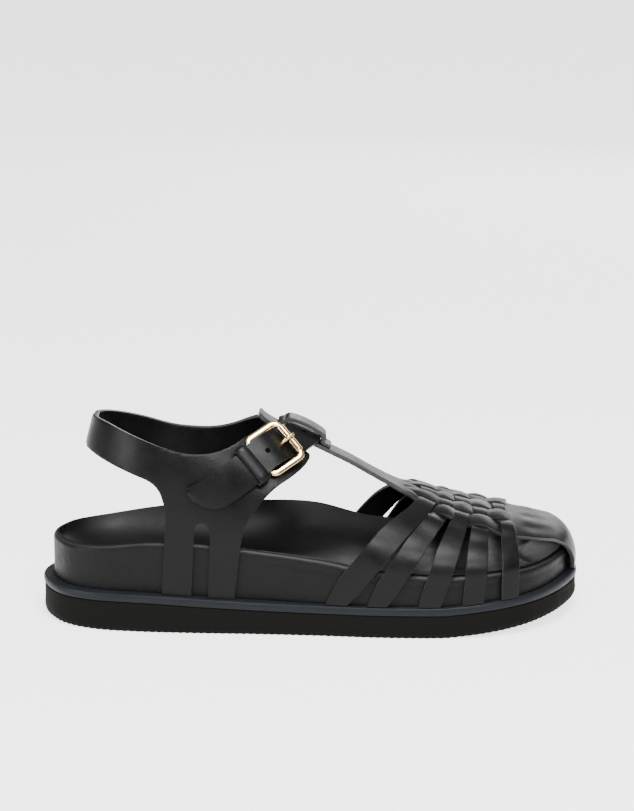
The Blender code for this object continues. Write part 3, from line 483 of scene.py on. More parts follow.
def new_piece(name, points, faces, materials, smooth_angle=40.0):
    """A mesh object from arrays, riding on the shoe."""
    mesh = bpy.data.meshes.new(name)
    mesh.from_pydata(np.asarray(points).tolist(), [], faces)
    for material in materials:
        mesh.materials.append(material)
    mesh.validate()
    mesh.shade_smooth()
    mesh.set_sharp_from_angle(angle=math.radians(smooth_angle))
    made = bpy.data.objects.new(name, mesh)
    bpy.context.scene.collection.objects.link(made)
    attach(made, "root")
    return made


def stands_for(made, slot, *nodes):
    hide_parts(*nodes)
    return made


def grid_faces(rows, columns, kept=None, cyclic=False):
    """Quads between neighbouring rows and columns of a grid."""
    r = np.arange(rows if cyclic else rows - 1)[:, None]
    c = np.arange(columns - 1)[None]
    low = r * columns + c
    high = ((r + 1) % rows) * columns + c
    quads = np.stack([low, high, high + 1, low + 1], axis=-1).reshape(-1, 4)
    if kept is not None:
        quads = quads[kept.ravel()]
    return quads.tolist()


def tube_faces(rows, columns, cyclic=False):
    """Quads round each ring and on to the next one."""
    r = np.arange(rows if cyclic else rows - 1)[:, None]
    c = np.arange(columns)[None]
    d = (c + 1) % columns
    here = r * columns
    after = (r + 1) % rows * columns
    return np.stack([here + c, here + d, after + d, after + c], axis=-1).reshape(-1, 4)


def leather_sheet(name, grid, thickness, materials, kept=None, edge=0.00035, cyclic=False):
    """An open grid given its thickness outwards, with the cut edges softened."""
    rows, columns = grid.shape[:2]
    made = new_piece(name, grid.reshape(-1, 3), grid_faces(rows, columns, kept, cyclic), materials)
    return thicken(made, thickness, edge)


def thicken(made, thickness, edge):
    """Give an open surface its thickness outwards and round its rims; rims take the second material."""
    solidify = made.modifiers.new("thickness", "SOLIDIFY")
    solidify.thickness = thickness
    solidify.offset = 1.0
    solidify.use_even_offset = False
    solidify.material_offset_rim = 1
    bevel = made.modifiers.new("soft edge", "BEVEL")
    bevel.width = edge
    bevel.segments = 2
    bevel.limit_method = "ANGLE"
    bevel.angle_limit = math.radians(55)
    return made


def ring_loft(name, levels, bottom, top, columns, materials):
    """Rings joined bottom to top, each end closed by rows across it whose heights are bottom and top."""
    levels = np.array(levels)
    count = levels.shape[1]
    half = count // 2
    faces = tube_faces(len(levels), count).tolist()
    points = [levels.reshape(-1, 3)]
    used = levels.shape[0] * count
    shares = bunched(columns + 1)
    k = np.arange(1, half)
    for ring, height, upward in ((0, bottom, False), (len(levels) - 1, top, True)):
        outer = levels[ring][k][:, None]
        inner = levels[ring][count - k][:, None]
        inside = outer + (inner - outer) * ((shares[1:-1] + 1) / 2)[None, :, None]
        level = np.broadcast_to(shares[1:-1], inside.shape[:2])
        inside[..., 2] = height(inside[..., 0], level, inside[..., 1])
        index = np.zeros((half + 1, columns + 1), dtype=int)
        index[1:half, 1:-1] = used + np.arange(inside.shape[0] * inside.shape[1]).reshape(inside.shape[:2])
        index[1:half, 0] = ring * count + k
        index[1:half, -1] = ring * count + count - k
        index[0] = ring * count
        index[half] = ring * count + half
        body = np.stack([index[1:-2, :-1], index[2:-1, :-1], index[2:-1, 1:], index[1:-2, 1:]],
                        axis=-1).reshape(-1, 4)
        heel = np.stack([index[0, :-1], index[1, :-1], index[1, 1:]], axis=-1)
        toe = np.stack([index[half, 1:], index[half - 1, 1:], index[half - 1, :-1]], axis=-1)
        if not upward:
            body, heel, toe = body[:, ::-1], heel[:, ::-1], toe[:, ::-1]
        faces += body.tolist() + heel.tolist() + toe.tolist()
        points.append(inside.reshape(-1, 3))
        used += len(points[-1])
    return new_piece(name, np.concatenate(points), faces, materials, 35.0)


def sweep(name, path, radii, materials, sides=20, across=None, flat=None, cyclic=False, power=1.0):
    """A bar along a path: rings centre + r(u cos^p t + flat v sin^p t), signs kept, closed at its ends."""
    path = np.asarray(path)
    if cyclic:
        along = unit(np.roll(path, -1, axis=0) - np.roll(path, 1, axis=0))
    else:
        along = unit(np.gradient(path, axis=0))
    side = unit(np.cross(along, np.broadcast_to(across, path.shape)))
    up = np.cross(along, side)
    radii = np.broadcast_to(np.asarray(radii, dtype=float), (len(path),))
    flat = np.broadcast_to(1.0 if flat is None else np.asarray(flat, dtype=float), (len(path),))
    turns = np.linspace(0, 2 * math.pi, sides, endpoint=False)
    cosine = signed_power(np.cos(turns), power)
    sine = signed_power(np.sin(turns), power)
    rings = (path[:, None] + radii[:, None, None] * (side[:, None] * cosine[None, :, None]
             + up[:, None] * (sine[None, :, None] * flat[:, None, None])))
    rows, columns = rings.shape[:2]
    faces = tube_faces(rows, columns, cyclic).tolist()
    if not cyclic:
        faces += [list(range(columns))[::-1], list(range((rows - 1) * columns, rows * columns))]
    return new_piece(name, rings.reshape(-1, 3), faces, materials, 75.0)


# The sole pieces


def make_outsole(materials):
    """Foam sole: its lower edge is inset by depth + amount |sin(pi run / SAW_PERIOD)|^1.4, a fine saw."""
    sections = 700

    def ring(depth, amount=0.0):
        def inset(station, run):
            return depth + amount * np.abs(np.sin(math.pi * run / SAW_PERIOD)) ** 1.4
        return plan_ring(inset, sections)

    levels = []
    for lift, depth, amount in ((0.0, 0.0011, 0.0007), (0.0009, 0.0004, 0.0006), (0.0020, 0.0001, 0.0002),
                                (0.0034, 0.0, 0.0)):
        levels.append(raised(ring(depth, amount), floor_rise, lift))
    plan = ring(0.0002)
    top = welt_bottom(station_at(plan[:, 0]))
    base = floor_rise(station_at(plan[:, 0])) + 0.0034
    for share in (0.35, 0.7):
        levels.append(np.column_stack([plan, base + (top - base) * share]))
    for drop, depth in ((0.0006, 0.0002), (0.0001, 0.0006)):
        levels.append(raised(ring(depth), welt_bottom, -drop))

    def tread(x, share, y):
        """Shallow slanting grooves, kept inside a plain border."""
        groove = np.clip(np.sin(2 * math.pi * (x + 0.25 * np.abs(y)) / TREAD_PERIOD) * 3 - 1.6, 0, 1)
        border = ease((0.93 - np.abs(share)) / 0.05) * ease((np.abs(station_at(x) - 0.5) - 0.475) / -0.012)
        return floor_rise(station_at(x)) + TREAD_DEPTH * groove * border

    made = ring_loft("foam_outsole", levels, tread,
                     lambda x, share, y: welt_bottom(station_at(x)) - 0.0001, 14, materials)
    return stands_for(made, "black_foam", "outsole")


def make_runner(materials):
    """The runner: a band with rounded edges, its face bowed out by 0.3 mm in the middle of its height."""
    profile = ((0.0010, 0.00), (0.0003, 0.05), (-0.0001, 0.20), (-0.0003, 0.50), (-0.0002, 0.80),
               (0.0002, 0.95), (0.0009, 1.00))
    levels = []
    for depth, share in profile:
        plan = plan_ring(lambda station, run: np.full_like(station, depth), 260)
        levels.append(raised(plan, welt_bottom, WELT_THICKNESS * share))
    made = ring_loft("slate_runner_band", levels, lambda x, share, y: welt_bottom(station_at(x)),
                     lambda x, share, y: ledge_height(station_at(x)), 10, materials)
    return stands_for(made, "slate_runner", "welt")


def toe_crease(x, share, y, depth):
    """A fold across the toes, depth exp(-((x - curve y^2 - place) / width)^2), fading at the sides."""
    along = (x - x_at(TOE_CREASE) - TOE_CREASE_CURVE * y * y) / TOE_CREASE_WIDTH
    return depth * np.exp(-along ** 2) * ease((0.8 - np.abs(share)) / 0.3)


def make_footbed(materials, rim_groove):
    """Leather-wrapped footbed: upright wall with a fine groove under a rolled rim, then the hollow.

    The rim is a quarter circle of RIM_WIDTH, whose lower faces take a lighter leather, wear with a painted
    highlight; the groove is one ring set in, and fades out towards the heel."""
    sections = 420
    inner_side = np.arange(2 * sections) > sections

    def level(depth, drop, groove):
        def inset(station, run):
            return ledge_width(station) + depth + groove * ease((station - 0.36) / 0.1)
        plan = plan_ring(inset, sections)
        stations = station_at(plan[:, 0])
        rim = rim_height(stations, np.where(inner_side, 1, -1))
        return np.column_stack([plan, rim - drop])

    foot = plan_ring(lambda station, run: ledge_width(station), sections)
    levels = [raised(foot, ledge_height, 0.0001)]
    wall = level(0.0, RIM_WIDTH + 0.0062, 0.0)
    for share in (0.2, 0.5, 0.8):
        levels.append(levels[0] + (wall - levels[0]) * share)
    levels.append(wall)
    for drop, groove in ((0.0028, 0.0), (0.0020, rim_groove), (0.0012, 0.0), (0.0004, 0.0)):
        levels.append(level(0.0, RIM_WIDTH + drop, groove))
    for turn in np.linspace(0, math.pi / 2, 8):
        levels.append(level(RIM_WIDTH * (1 - math.cos(turn)), RIM_WIDTH * (1 - math.sin(turn)), 0.0))

    made = ring_loft("leather_footbed", levels, lambda x, share, y: ledge_height(station_at(x)) + 0.0001,
                     lambda x, share, y: seat_height(x, share) - toe_crease(x, share, y, 0.0009),
                     40, materials)
    roll = np.zeros(len(made.data.polygons), dtype=np.int32)
    ring_faces = 2 * sections
    # These rings take the lighter leather: rim wear with a painted highlight
    roll[RIM_WEAR_AND_HIGHLIGHT_RINGS[0] * ring_faces:RIM_WEAR_AND_HIGHLIGHT_RINGS[1] * ring_faces] = 1
    made.data.polygons.foreach_set("material_index", roll)
    return stands_for(made, "black_leather", "footbed")


def make_insole(materials):
    """The leather cover: the hollow's surface again, in rows across the rim's inner ring, thickened."""
    lip = plan_ring(lambda station, run: ledge_width(station) + RIM_WIDTH, 240)
    row = np.arange(9, 232)
    shares = 0.985 * bunched(47)[None]
    across = lip[len(lip) - row] - lip[row]
    middle = (lip[len(lip) - row] + lip[row]) / 2
    x = middle[:, :1] + across[:, :1] * shares / 2
    y = middle[:, 1:] + across[:, 1:] * shares / 2
    z = seat_height(x, np.broadcast_to(shares, x.shape)) + CLEARANCE
    grid = np.stack([x, y, z - toe_crease(x, shares, y, 0.0010)], axis=-1)
    made = leather_sheet("leather_insole", grid, INSOLE_THICKNESS * 0.35, materials, edge=0.0002)
    return stands_for(made, "black_leather", "insole")


# The woven front


def weave_fade(count, low, high, ramp):
    return ease(np.minimum(np.clip((count - low) / ramp, 0, 1), np.clip((high - count) / ramp, 0, 1)))


def strip_pitch(station):
    return BALL_WIDTH * read(LONG_PIECE, "half_width", station) / ((STRIP_COUNT - 1) / 2 + STRIP_SHARE / 2)


def strap_lift(number, place):
    """Half a cosine wave a strip: up over every second strip and down under the others."""
    swing = -math.cos(math.pi * number) * np.cos(math.pi * place)
    return CLEARANCE + WEAVE_SWING * weave_fade(place, -3.6, 3.6, 1.0) * (1 + swing)


def make_long_piece(materials):
    """T-bar, five strips and toe strap as one sheet of rows and columns, slit between the strips.

    A strip lifts by WEAVE_SWING (1 + cos(pi passed) cos(pi strip)), passed counting the cross straps."""
    reach = (STRIP_COUNT - 1) // 2
    spread = STRIP_SHARE / 2 * bunched(7)
    strips = np.repeat(np.arange(-reach, reach + 1), 7)
    places = strips + np.tile(spread, STRIP_COUNT)
    passed = np.concatenate([np.linspace(-5.0, WEAVE_START, 60)[:-1],
                             np.linspace(WEAVE_START, WEAVE_END, 114)])
    stations = read(LONG_PIECE, "station", passed, "passed")
    pitch = strip_pitch(stations)
    fade = weave_fade(passed, WEAVE_START, WEAVE_END, 0.70)
    lift = CLEARANCE + WEAVE_SWING * fade[:, None] * (
        1 + np.cos(math.pi * passed)[:, None] * np.cos(math.pi * strips)[None])
    lift = lift + (BAR_END_RISE * ease((-4.0 - passed) / 0.9))[:, None]
    across = np.tile(spread, STRIP_COUNT)[None] / (STRIP_SHARE / 2)
    dome = STRIP_DOME * fade[:, None] * (1 - across ** 2)
    x = np.broadcast_to(x_at(stations)[:, None], lift.shape)
    girth = places[None] * pitch[:, None]
    woven = last_points(x, girth) + last_normals(x, girth) * (lift + dome)[..., None]
    troughs = toe_strap_rows(places / places.max())
    grid = np.concatenate([woven, troughs])
    slit = np.concatenate([(passed >= SLIT_START) & (passed <= SLIT_END),
                           np.zeros(len(troughs), dtype=bool)])
    kept = np.ones((len(grid) - 1, len(places) - 1), dtype=bool)
    kept[np.ix_(slit[:-1] & slit[1:], (np.arange(len(places) - 1) % 7) == 6)] = False
    made = leather_sheet("leather_tbar_strips_toe_strap", grid, TBAR_LEATHER - SHEET_TRIM, materials, kept)
    return stands_for(made, "black_leather", "vamp")


def toe_strap_rows(shares):
    """The toe strap: its middle line lowered by drop share^2 to the sides, with soft lengthwise troughs.

    The troughs carry the strips on and fade out before the toe. The first rows blend from the last's own
    surface, and the inner edge is tucked in at the end."""
    last_row = len(TOE_STRAP["station"]) - 1
    steps = np.linspace(0, last_row, 110)[1:]
    spread = dict(TOE_STRAP, row=np.arange(last_row + 1))
    centre = np.stack([x_at(read(spread, "station", steps, "row")),
                       BALL_WIDTH * read(spread, "middle", steps, "row"),
                       INSTEP_HEIGHT * read(spread, "height", steps, "row")], axis=1)
    half_width = BALL_WIDTH * read(spread, "half_width", steps, "row")
    drop = BALL_WIDTH * read(spread, "drop", steps, "row")
    along = unit(np.gradient(centre, axis=0))
    outward = np.stack([-along[:, 2], np.zeros(len(steps)), along[:, 0]], axis=1)
    fade = ease((3.6 - steps) / 3.4)[:, None]
    ridge = TROUGH_DEPTH * fade * ease(steps / 1.1)[:, None] * np.cos(shares[None] * math.pi * 2.15) ** 2
    tuck = TOE_TUCK * ease((steps - 5.0) / 2.0)[:, None] * (shares > 0)[None]
    lift = CLEARANCE + ridge - (drop[:, None] + tuck) * shares[None] ** 2
    rows = centre[:, None] + outward[:, None] * lift[..., None]
    rows[..., 1] += half_width[:, None] * shares[None]
    x = np.broadcast_to(centre[:, :1], lift.shape)
    girth = half_width[:, None] * shares[None]
    wrapped = last_points(x, girth) + last_normals(x, girth) * (CLEARANCE + ridge)[..., None]
    towards = ease(steps / 3.4)[:, None, None]
    return wrapped * (1 - towards) + rows * towards


def band_grid(centres, normals, widths, columns=9, dome=STRAP_DOME):
    """Columns either side of a middle line, raised in the middle by dome (1 - share^2)."""
    across = unit(np.cross(normals, unit(np.gradient(centres, axis=0))))
    shares = bunched(columns)
    half = np.asarray(widths)[:, None, None] / 2
    return (centres[:, None] + across[:, None] * half * shares[None, :, None]
            + normals[:, None] * (dome * (1 - shares ** 2))[None, :, None])


def make_cross_strap(index, materials):
    """A woven strap from welt to welt; its line is read through five named stations, its ends cut level."""
    names = ("outer_foot", "outer_strip", "crown", "inner_strip", "inner_foot")
    run = {"place": np.array([-FOOT_PLACE, -2.0, 0.0, 2.0, FOOT_PLACE]),
           "station": np.array([CROSS_STRAPS[name][index] for name in names])}
    places = np.concatenate([np.linspace(-FOOT_PLACE, -3.0, 40)[:-1], np.linspace(-3.0, 3.0, 110),
                             np.linspace(3.0, FOOT_PLACE, 40)[1:]])
    x = x_at(read(run, "station", places, "place"))
    pitch = float(strip_pitch(CROSS_STRAPS["crown"][index]))
    share = np.clip((np.abs(places) - 2.0) / (FOOT_PLACE - 2.0), 0, 1)
    far = np.where(places < 0, foot_girth(x, -1), foot_girth(x, 1))
    girth = np.where(share == 0, places * pitch, np.sign(places) * 2.0 * pitch * (1 - share) + far * share)
    normals = last_normals(x, girth)
    centres = last_points(x, girth) + normals * strap_lift(index + 1, places)[:, None]
    foot_width = CROSS_STRAP_WIDTH * CROSS_STRAPS["foot_width"][index]
    widths = foot_width * (WOVEN_WIDTH_SHARE + (1 - WOVEN_WIDTH_SHARE) * np.minimum(share * 2, 1))
    grid = band_grid(centres, normals, widths)
    blend = np.linspace(1, 0, 8)[:, None]
    for rows in (np.arange(8), np.arange(len(grid) - 1, len(grid) - 9, -1)):
        level = ledge_height(station_at(grid[rows, :, 0])) + CLEARANCE * 0.5
        rise = grid[rows, :, 2].mean(axis=1, keepdims=True) - grid[rows[0], :, 2].mean()
        grid[rows, :, 2] = grid[rows, :, 2] * (1 - blend) + (level + rise) * blend
    made = leather_sheet("leather_cross_strap_%d" % (index + 1), grid, LEATHER - 0.0002, materials)
    return stands_for(made, "black_leather", "vamp")


def make_tbar_loop(materials):
    """The strip over the ankle strap: a run of lifts along the T-bar, smoothed, narrower at its sewn end."""
    low = TBAR_LEATHER - CLEARANCE
    high = CLEARANCE + TBAR_LEATHER + CLEARANCE + ANKLE_STRAP_LEATHER + 3 * CLEARANCE
    reach = ANKLE_STRAP_WIDTH / 2
    middle = float(x_at(read(ANKLE_STRAP, "station", 0.0, "girth")))
    slope = math.hypot(1.0, LOOP_SLOPE)
    stops = table("along lift", [
        (-reach - 0.0042, low),
        (-reach - 0.0030, low + 0.0012),
        (-reach - 0.0018, high * 0.66),
        (-reach - 0.0002, high),
        (0.0, high + LOOP_CROWN_RISE),
        (reach, high * 0.97),
        (reach + 0.0005, high * 0.62),
        (reach + 0.0013, low + 0.0002),
        (reach + 0.0060, low - 0.0002),
    ])
    stops["row"] = np.arange(9.0)
    rows = np.linspace(0, 8, 90)
    x = middle + read(stops, "along", rows, "row") / slope
    crown = np.zeros(len(rows))
    centres = last_points(x, crown) + last_normals(x, crown) * read(stops, "lift", rows, "row")[:, None]
    width = LOOP_WIDTH * (1 - 0.10 * ease((rows - 6.0) / 2.0))
    normals = unit(np.cross(np.gradient(centres, axis=0), np.array([0.0, 1.0, 0.0])))
    grid = band_grid(centres, normals, width, dome=0.0001)
    made = leather_sheet("leather_tbar_loop", grid, LEATHER - SHEET_TRIM, materials)
    return stands_for(made, "black_leather", "vamp")


# The quarter


def heel_line(z):
    """X of the leaning line up the middle of the heel."""
    return x_at(0) + HEEL_BACK + HEEL_LEAN * (z - 0.86 * COLLAR_HEIGHT)


def wall_place(turn, z):
    """The wall's point at a turn round the heel and a height.

    Within a quarter turn x runs as R (1 - cos turn) from the leaning heel line, beyond it straight on. The
    half width is the last's, narrowed round the heel by (1 - (1 - depth)^n)^(1/n)."""
    size = np.abs(turn)
    side = np.where(turn < 0, -1.0, 1.0)
    back = heel_line(z)
    round_part = HEEL_ROUND * (1 - np.cos(np.minimum(size, math.pi / 2)))
    x = back + round_part + HEEL_ROUND * np.maximum(size - math.pi / 2, 0)
    station = station_at(x)
    outer, inner = sole_sides(station)
    middle = BALL_WIDTH * read(LAST, "middle", station)
    edge = np.where(side < 0, middle - outer, inner - middle) - ledge_width(station) + CLEARANCE
    rim = rim_height(station, side)
    crown = INSTEP_HEIGHT * read(LAST, "crown", station)
    fullness = read(LAST, "fullness", station)
    share = np.clip((z - rim) / (crown - rim), 0, 1)
    half = edge * (1 - share ** fullness) ** (1 / fullness)
    depth = np.clip((x - back) / HEEL_ROUND, 0, 1)
    narrowing = (1 - (1 - depth) ** HEEL_FULLNESS) ** (1 / HEEL_FULLNESS)
    return np.stack([x, middle + side * half * narrowing, z], axis=-1)


def turn_at(x, z):
    """The turn whose point has this x at this height."""
    ahead = x - heel_line(z)
    inside = np.arccos(np.clip(1 - ahead / HEEL_ROUND, -1, 1))
    return np.where(ahead < HEEL_ROUND, inside, math.pi / 2 + (ahead - HEEL_ROUND) / HEEL_ROUND)


def rounded(corners, unit, steps=10):
    """Corner rows of station, height share and radius as points, each corner a quadratic arc."""
    points = np.array([(float(x_at(station)), share * unit) for station, share, radius in corners])
    outline = []
    for i, here in enumerate(points):
        radius = corners[i][2]
        before = points[i - 1] - here
        after = points[(i + 1) % len(points)] - here
        room = min(np.linalg.norm(before), np.linalg.norm(after)) * 0.49
        before = before / np.linalg.norm(before)
        after = after / np.linalg.norm(after)
        half = math.acos(float(np.clip(before @ after, -1, 1))) / 2
        if radius == 0 or half > math.radians(88):
            outline.append(here[None])
            continue
        reach = min(radius / math.tan(half), room)
        t = np.linspace(0, 1, steps + 1)[:, None]
        outline.append(arc(here + before * reach, here, here + after * reach, t))
    return np.concatenate(outline)


def densify(outline, spacing, closed=True):
    """The outline with straight runs divided so that no step is over spacing."""
    ends = np.roll(outline, -1, axis=0) if closed else outline[1:]
    starts = outline if closed else outline[:-1]
    runs = []
    for a, b in zip(starts, ends):
        count = max(int(math.ceil(np.linalg.norm(b - a) / spacing)), 1)
        runs.append(a + (b - a) * np.linspace(0, 1, count, endpoint=False)[:, None])
    return np.concatenate(runs)


def inside_loop(points, loop):
    """Even-odd test of points against a closed loop, as whole arrays."""
    x, y = points[:, 0][:, None], points[:, 1][:, None]
    x0, y0 = loop[:, 0][None], loop[:, 1][None]
    x1, y1 = np.roll(loop[:, 0], -1)[None], np.roll(loop[:, 1], -1)[None]
    crosses = (y0 > y) != (y1 > y)
    at = x0 + (y - y0) * (x1 - x0) / np.where(y1 == y0, 1e-12, y1 - y0)
    return (crosses & (x < at)).sum(axis=1) % 2 == 1


def tab_top(x, end):
    """Height at which the last's section comes in to this distance from the middle of the shoe."""
    y, z = last_sections(x, 400)[:2]
    across = np.abs(y - end) + np.where(z < COLLAR_HEIGHT / 2, 1.0, 0.0)
    return z[np.arange(len(x)), np.argmin(across, axis=1)]


def panel_loop(corners, side, tab_end):
    """A panel's outline in turn and height from the heel's middle round it, cut short at the tab's end.

    The tab's corner is rounded by taking each of its points to its neighbours' middle, over and over."""
    line = densify(rounded(corners, COLLAR_HEIGHT), 0.0012)
    front = line[:, 0] > x_at(0.37)
    line[front, 1] = np.minimum(line[front, 1], tab_top(line[front, 0], tab_end))
    tab = (line[:, 0] > x_at(0.465)) & (line[:, 1] > 0.72 * COLLAR_HEIGHT)
    for _ in range(TAB_SMOOTHING):
        line[tab] = ((np.roll(line, 1, axis=0) + np.roll(line, -1, axis=0)) / 2)[tab]
    line = line[line[:, 0] > heel_line(line[:, 1]) + 0.0008]
    return np.column_stack([side * turn_at(line[:, 0], line[:, 1]), line[:, 1]])


def fill_flat(loops, grain):
    """Fine triangles inside the first loop and outside the others, from their points and a staggered grid."""
    def wanted(points):
        return inside_loop(points, loops[0]) & ~inside_loop(points, loops[1]) & ~inside_loop(points, loops[2])

    low, high = loops[0].min(axis=0), loops[0].max(axis=0)
    gx, gz = np.meshgrid(np.arange(low[0], high[0], grain), np.arange(low[1], high[1], grain))
    gx = gx + grain / 2 * (np.arange(len(gx)) % 2)[:, None]
    filling = np.column_stack([gx.ravel(), gz.ravel()])
    filling = filling[wanted(filling)]
    near = np.ones(len(filling), dtype=bool)
    for block in np.array_split(np.concatenate([densify(loop, 0.0010) for loop in loops]), 20):
        near &= np.linalg.norm(filling[:, None] - block[None], axis=2).min(axis=1) > 0.0007
    edges = []
    start = 0
    for loop in loops:
        index = np.arange(len(loop)) + start
        edges += np.column_stack([index, np.roll(index, -1)]).tolist()
        start += len(loop)
    points = np.concatenate(loops + [filling[near]])
    found = delaunay_2d_cdt([Vector(p) for p in points.tolist()], edges, [], 0, 1e-6)
    flat = np.array([tuple(p) for p in found[0]])
    triangles = np.array(found[2])
    triangles = triangles[wanted(flat[triangles].mean(axis=1))]
    a, b, c = flat[triangles[:, 0]], flat[triangles[:, 1]], flat[triangles[:, 2]]
    turning = (b[:, 0] - a[:, 0]) * (c[:, 1] - a[:, 1]) - (b[:, 1] - a[:, 1]) * (c[:, 0] - a[:, 0])
    triangles[turning > 0] = triangles[turning > 0][:, ::-1]
    used = np.unique(triangles)
    number = np.full(len(flat), -1)
    number[used] = np.arange(len(used))
    return flat[used], number[triangles]


def make_quarter(materials):
    """Outer panel, heel strap and inner panel: a flat outline filled with triangles, bent on to the wall."""
    outer = panel_loop(OUTER_PANEL, -1, BALL_WIDTH * OUTER_TAB_END)
    inner = panel_loop(INNER_PANEL, 1, BALL_WIDTH * INNER_TAB_END)
    outline = np.concatenate([outer, inner[::-1]]) * [HEEL_ROUND, 1.0]
    loops = [outline[np.linalg.norm(np.roll(outline, -1, axis=0) - outline, axis=1) > 0.00012]]
    for side in (-1, 1):
        slot = densify(rounded(PANEL_SLOT, COLLAR_HEIGHT), 0.0010)
        loops.append(np.column_stack([side * turn_at(slot[:, 0], slot[:, 1]) * HEEL_ROUND, slot[:, 1]]))
    flat, triangles = fill_flat(loops, QUARTER_GRAIN)
    bent = wall_place(flat[:, 0] / HEEL_ROUND, flat[:, 1])
    made = new_piece("leather_quarter", bent, triangles.tolist(), materials)
    return stands_for(thicken(made, LEATHER, 0.0004), "black_leather", "quarter")


# The ankle strap, its keeper and buckle


def strap_underside(share):
    return 2 * CLEARANCE + TBAR_LEATHER + read(ANKLE_STRAP, "ride", share, "girth") * BUCKLE_BAR


def ankle_frame(share, lift):
    """Places and directions along the strap: along it, across it and outwards, at girth shares."""
    share = np.asarray(share, dtype=float)
    step = 0.02

    def place(at):
        return x_at(read(ANKLE_STRAP, "station", at, "girth")), at * INSTEP_HEIGHT

    facing = read(ANKLE_STRAP, "facing", share, "girth")
    outward = last_normals(*place(facing))
    along = last_points(*place(share + step)) - last_points(*place(share - step))
    along = unit(along - outward * (along * outward).sum(axis=-1, keepdims=True))
    spot = last_points(*place(share)) + np.asarray(lift)[..., None] * outward
    return spot, along, np.cross(outward, along), outward


def smoothed(rows, count=9):
    """Each column averaged over count rows, its ends carried on by mirroring."""
    padded = np.pad(rows, ((count // 2, count // 2), (0, 0)), mode="reflect", reflect_type="odd")
    share = np.ones(count) / count
    return np.stack([np.convolve(column, share, mode="valid") for column in padded.T], axis=1)


def make_ankle_strap(materials):
    """One band; its tip's lower edge is a quarter ellipse, and its upper corner stays sharp."""
    shares = np.linspace(ANKLE_STRAP["girth"][0], ANKLE_STRAP["girth"][-1], 260)
    spot, _, _, outward = ankle_frame(shares, strap_underside(shares))
    centres = smoothed(spot)
    outward = unit(smoothed(outward))
    widths = np.full(len(shares), ANKLE_STRAP_WIDTH)
    grid = band_grid(centres, outward, widths, columns=17, dome=ANKLE_STRAP_DOME)
    run = run_along(centres)
    ahead = np.clip(1 - run / (TIP_LENGTH * ANKLE_STRAP_WIDTH), 0, 1)
    upper = np.clip(1 - run / (TIP_CORNER * ANKLE_STRAP_WIDTH), 0, 1)
    low_edge = (1 - TIP_CUT * (1 - np.sqrt(1 - ahead ** 2)))[:, None]
    high_edge = (1 - TIP_CORNER * (1 - np.sqrt(1 - upper ** 2)))[:, None]
    places = bunched(grid.shape[1])[None]
    scale = (high_edge - low_edge) * 0.5 + (high_edge + low_edge) * 0.5 * places
    taper = TIP_TAPER * ease(1 - run / (TAPER_LENGTH * ANKLE_STRAP_WIDTH))[:, None]
    scale = scale + taper * (1 - scale) / 2
    half_way = (grid[:, -1:] - grid[:, :1]) / 2
    grid = grid + half_way * (scale - places)[..., None]
    thickness = ANKLE_STRAP_LEATHER - SHEET_TRIM
    made = leather_sheet("leather_ankle_strap", grid, thickness, materials, edge=0.0004)
    return stands_for(made, "black_leather", "ankle_strap")


def make_strap_holes(material):
    """Punched holes: dark discs of painted shade on the strap's face, their rims raised a little, as rings
    of 24 points.
    """
    places = np.array(SPARE_HOLE_PLACES)
    top = strap_underside(places) + ANKLE_STRAP_LEATHER + 0.0001
    spot, along, across, outward = ankle_frame(places, top)
    sides = 24
    turns = np.linspace(0, 2 * math.pi, sides, endpoint=False)
    radii = HOLE_RADIUS * np.array([0.148, 0.593, 0.778, 1.0])
    heights = np.array([0.00002, 0.00006, 0.00022, -0.0001])
    quads = tube_faces(len(radii), sides)[:, ::-1]
    points = []
    faces = []
    for i in range(len(places)):
        base = i * sides * len(radii)
        points.append((spot[i] + radii[:, None, None] * (along[i] * np.cos(turns)[None, :, None]
                       + across[i] * np.sin(turns)[None, :, None]) + outward[i] * heights[:, None, None]))
        faces += (quads + base).tolist()
        faces.append((np.arange(sides) + base).tolist())
    made = new_piece("strap_hole_rims", np.concatenate(points).reshape(-1, 3), faces, [material])
    return stands_for(made, "black_leather", "ankle_strap")


def make_keeper(materials):
    """The keeper: a rounded ring round the strap, its section a superellipse with signs kept."""
    under = float(strap_underside(KEEPER_PLACE))
    low = under - 3 * CLEARANCE
    high = under + ANKLE_STRAP_LEATHER + 2 * CLEARANCE
    middle, along, across, outward = (v[0] for v in ankle_frame(np.array([KEEPER_PLACE]), np.zeros(1)))
    half = ANKLE_STRAP_WIDTH / 2 + 0.0007
    turns = np.linspace(0, 2 * math.pi, 96, endpoint=False)
    side = half * signed_power(np.cos(turns), 0.22)
    lift = (low + high) / 2 + (high - low) / 2 * signed_power(np.sin(turns), 0.35)
    ring = middle + across * side[:, None] + outward * lift[:, None]
    shares = np.linspace(-0.5, 0.5, 9)
    outwards = across * np.cos(turns)[:, None] + outward * np.sin(turns)[:, None]
    grid = (ring[:, None] + along[None, None] * (KEEPER_WIDTH * 1.15 * shares)[None, :, None]
            + outwards[:, None] * (KEEPER_DOME * (1 - (2 * shares) ** 2))[None, :, None])
    made = leather_sheet("leather_keeper", grid, KEEPER_LEATHER, materials, edge=0.0003, cyclic=True)
    return stands_for(made, "black_leather", "keeper_loop")


def buckle_bars():
    """Middles of the inner bar and the roller's bar, the across direction and the buckle's outward one."""
    places = np.array([INNER_BAR_PLACE, ROLLER_PLACE])
    lifts = np.array([3 * CLEARANCE + LEATHER + BUCKLE_BAR / 2,
                      float(strap_underside(ROLLER_PLACE)) + ANKLE_STRAP_LEATHER + 2 * CLEARANCE
                      + ROLLER_DIAMETER / 2])
    spot, _, across, _ = ankle_frame(places, lifts)
    forward = spot[1] - spot[0]
    sideways = across[0] + across[1]
    sideways = sideways - forward * (sideways @ forward) / (forward @ forward)
    sideways /= np.linalg.norm(sideways)
    up = np.cross(forward, sideways)
    return spot[0], spot[1], sideways, up / np.linalg.norm(up)


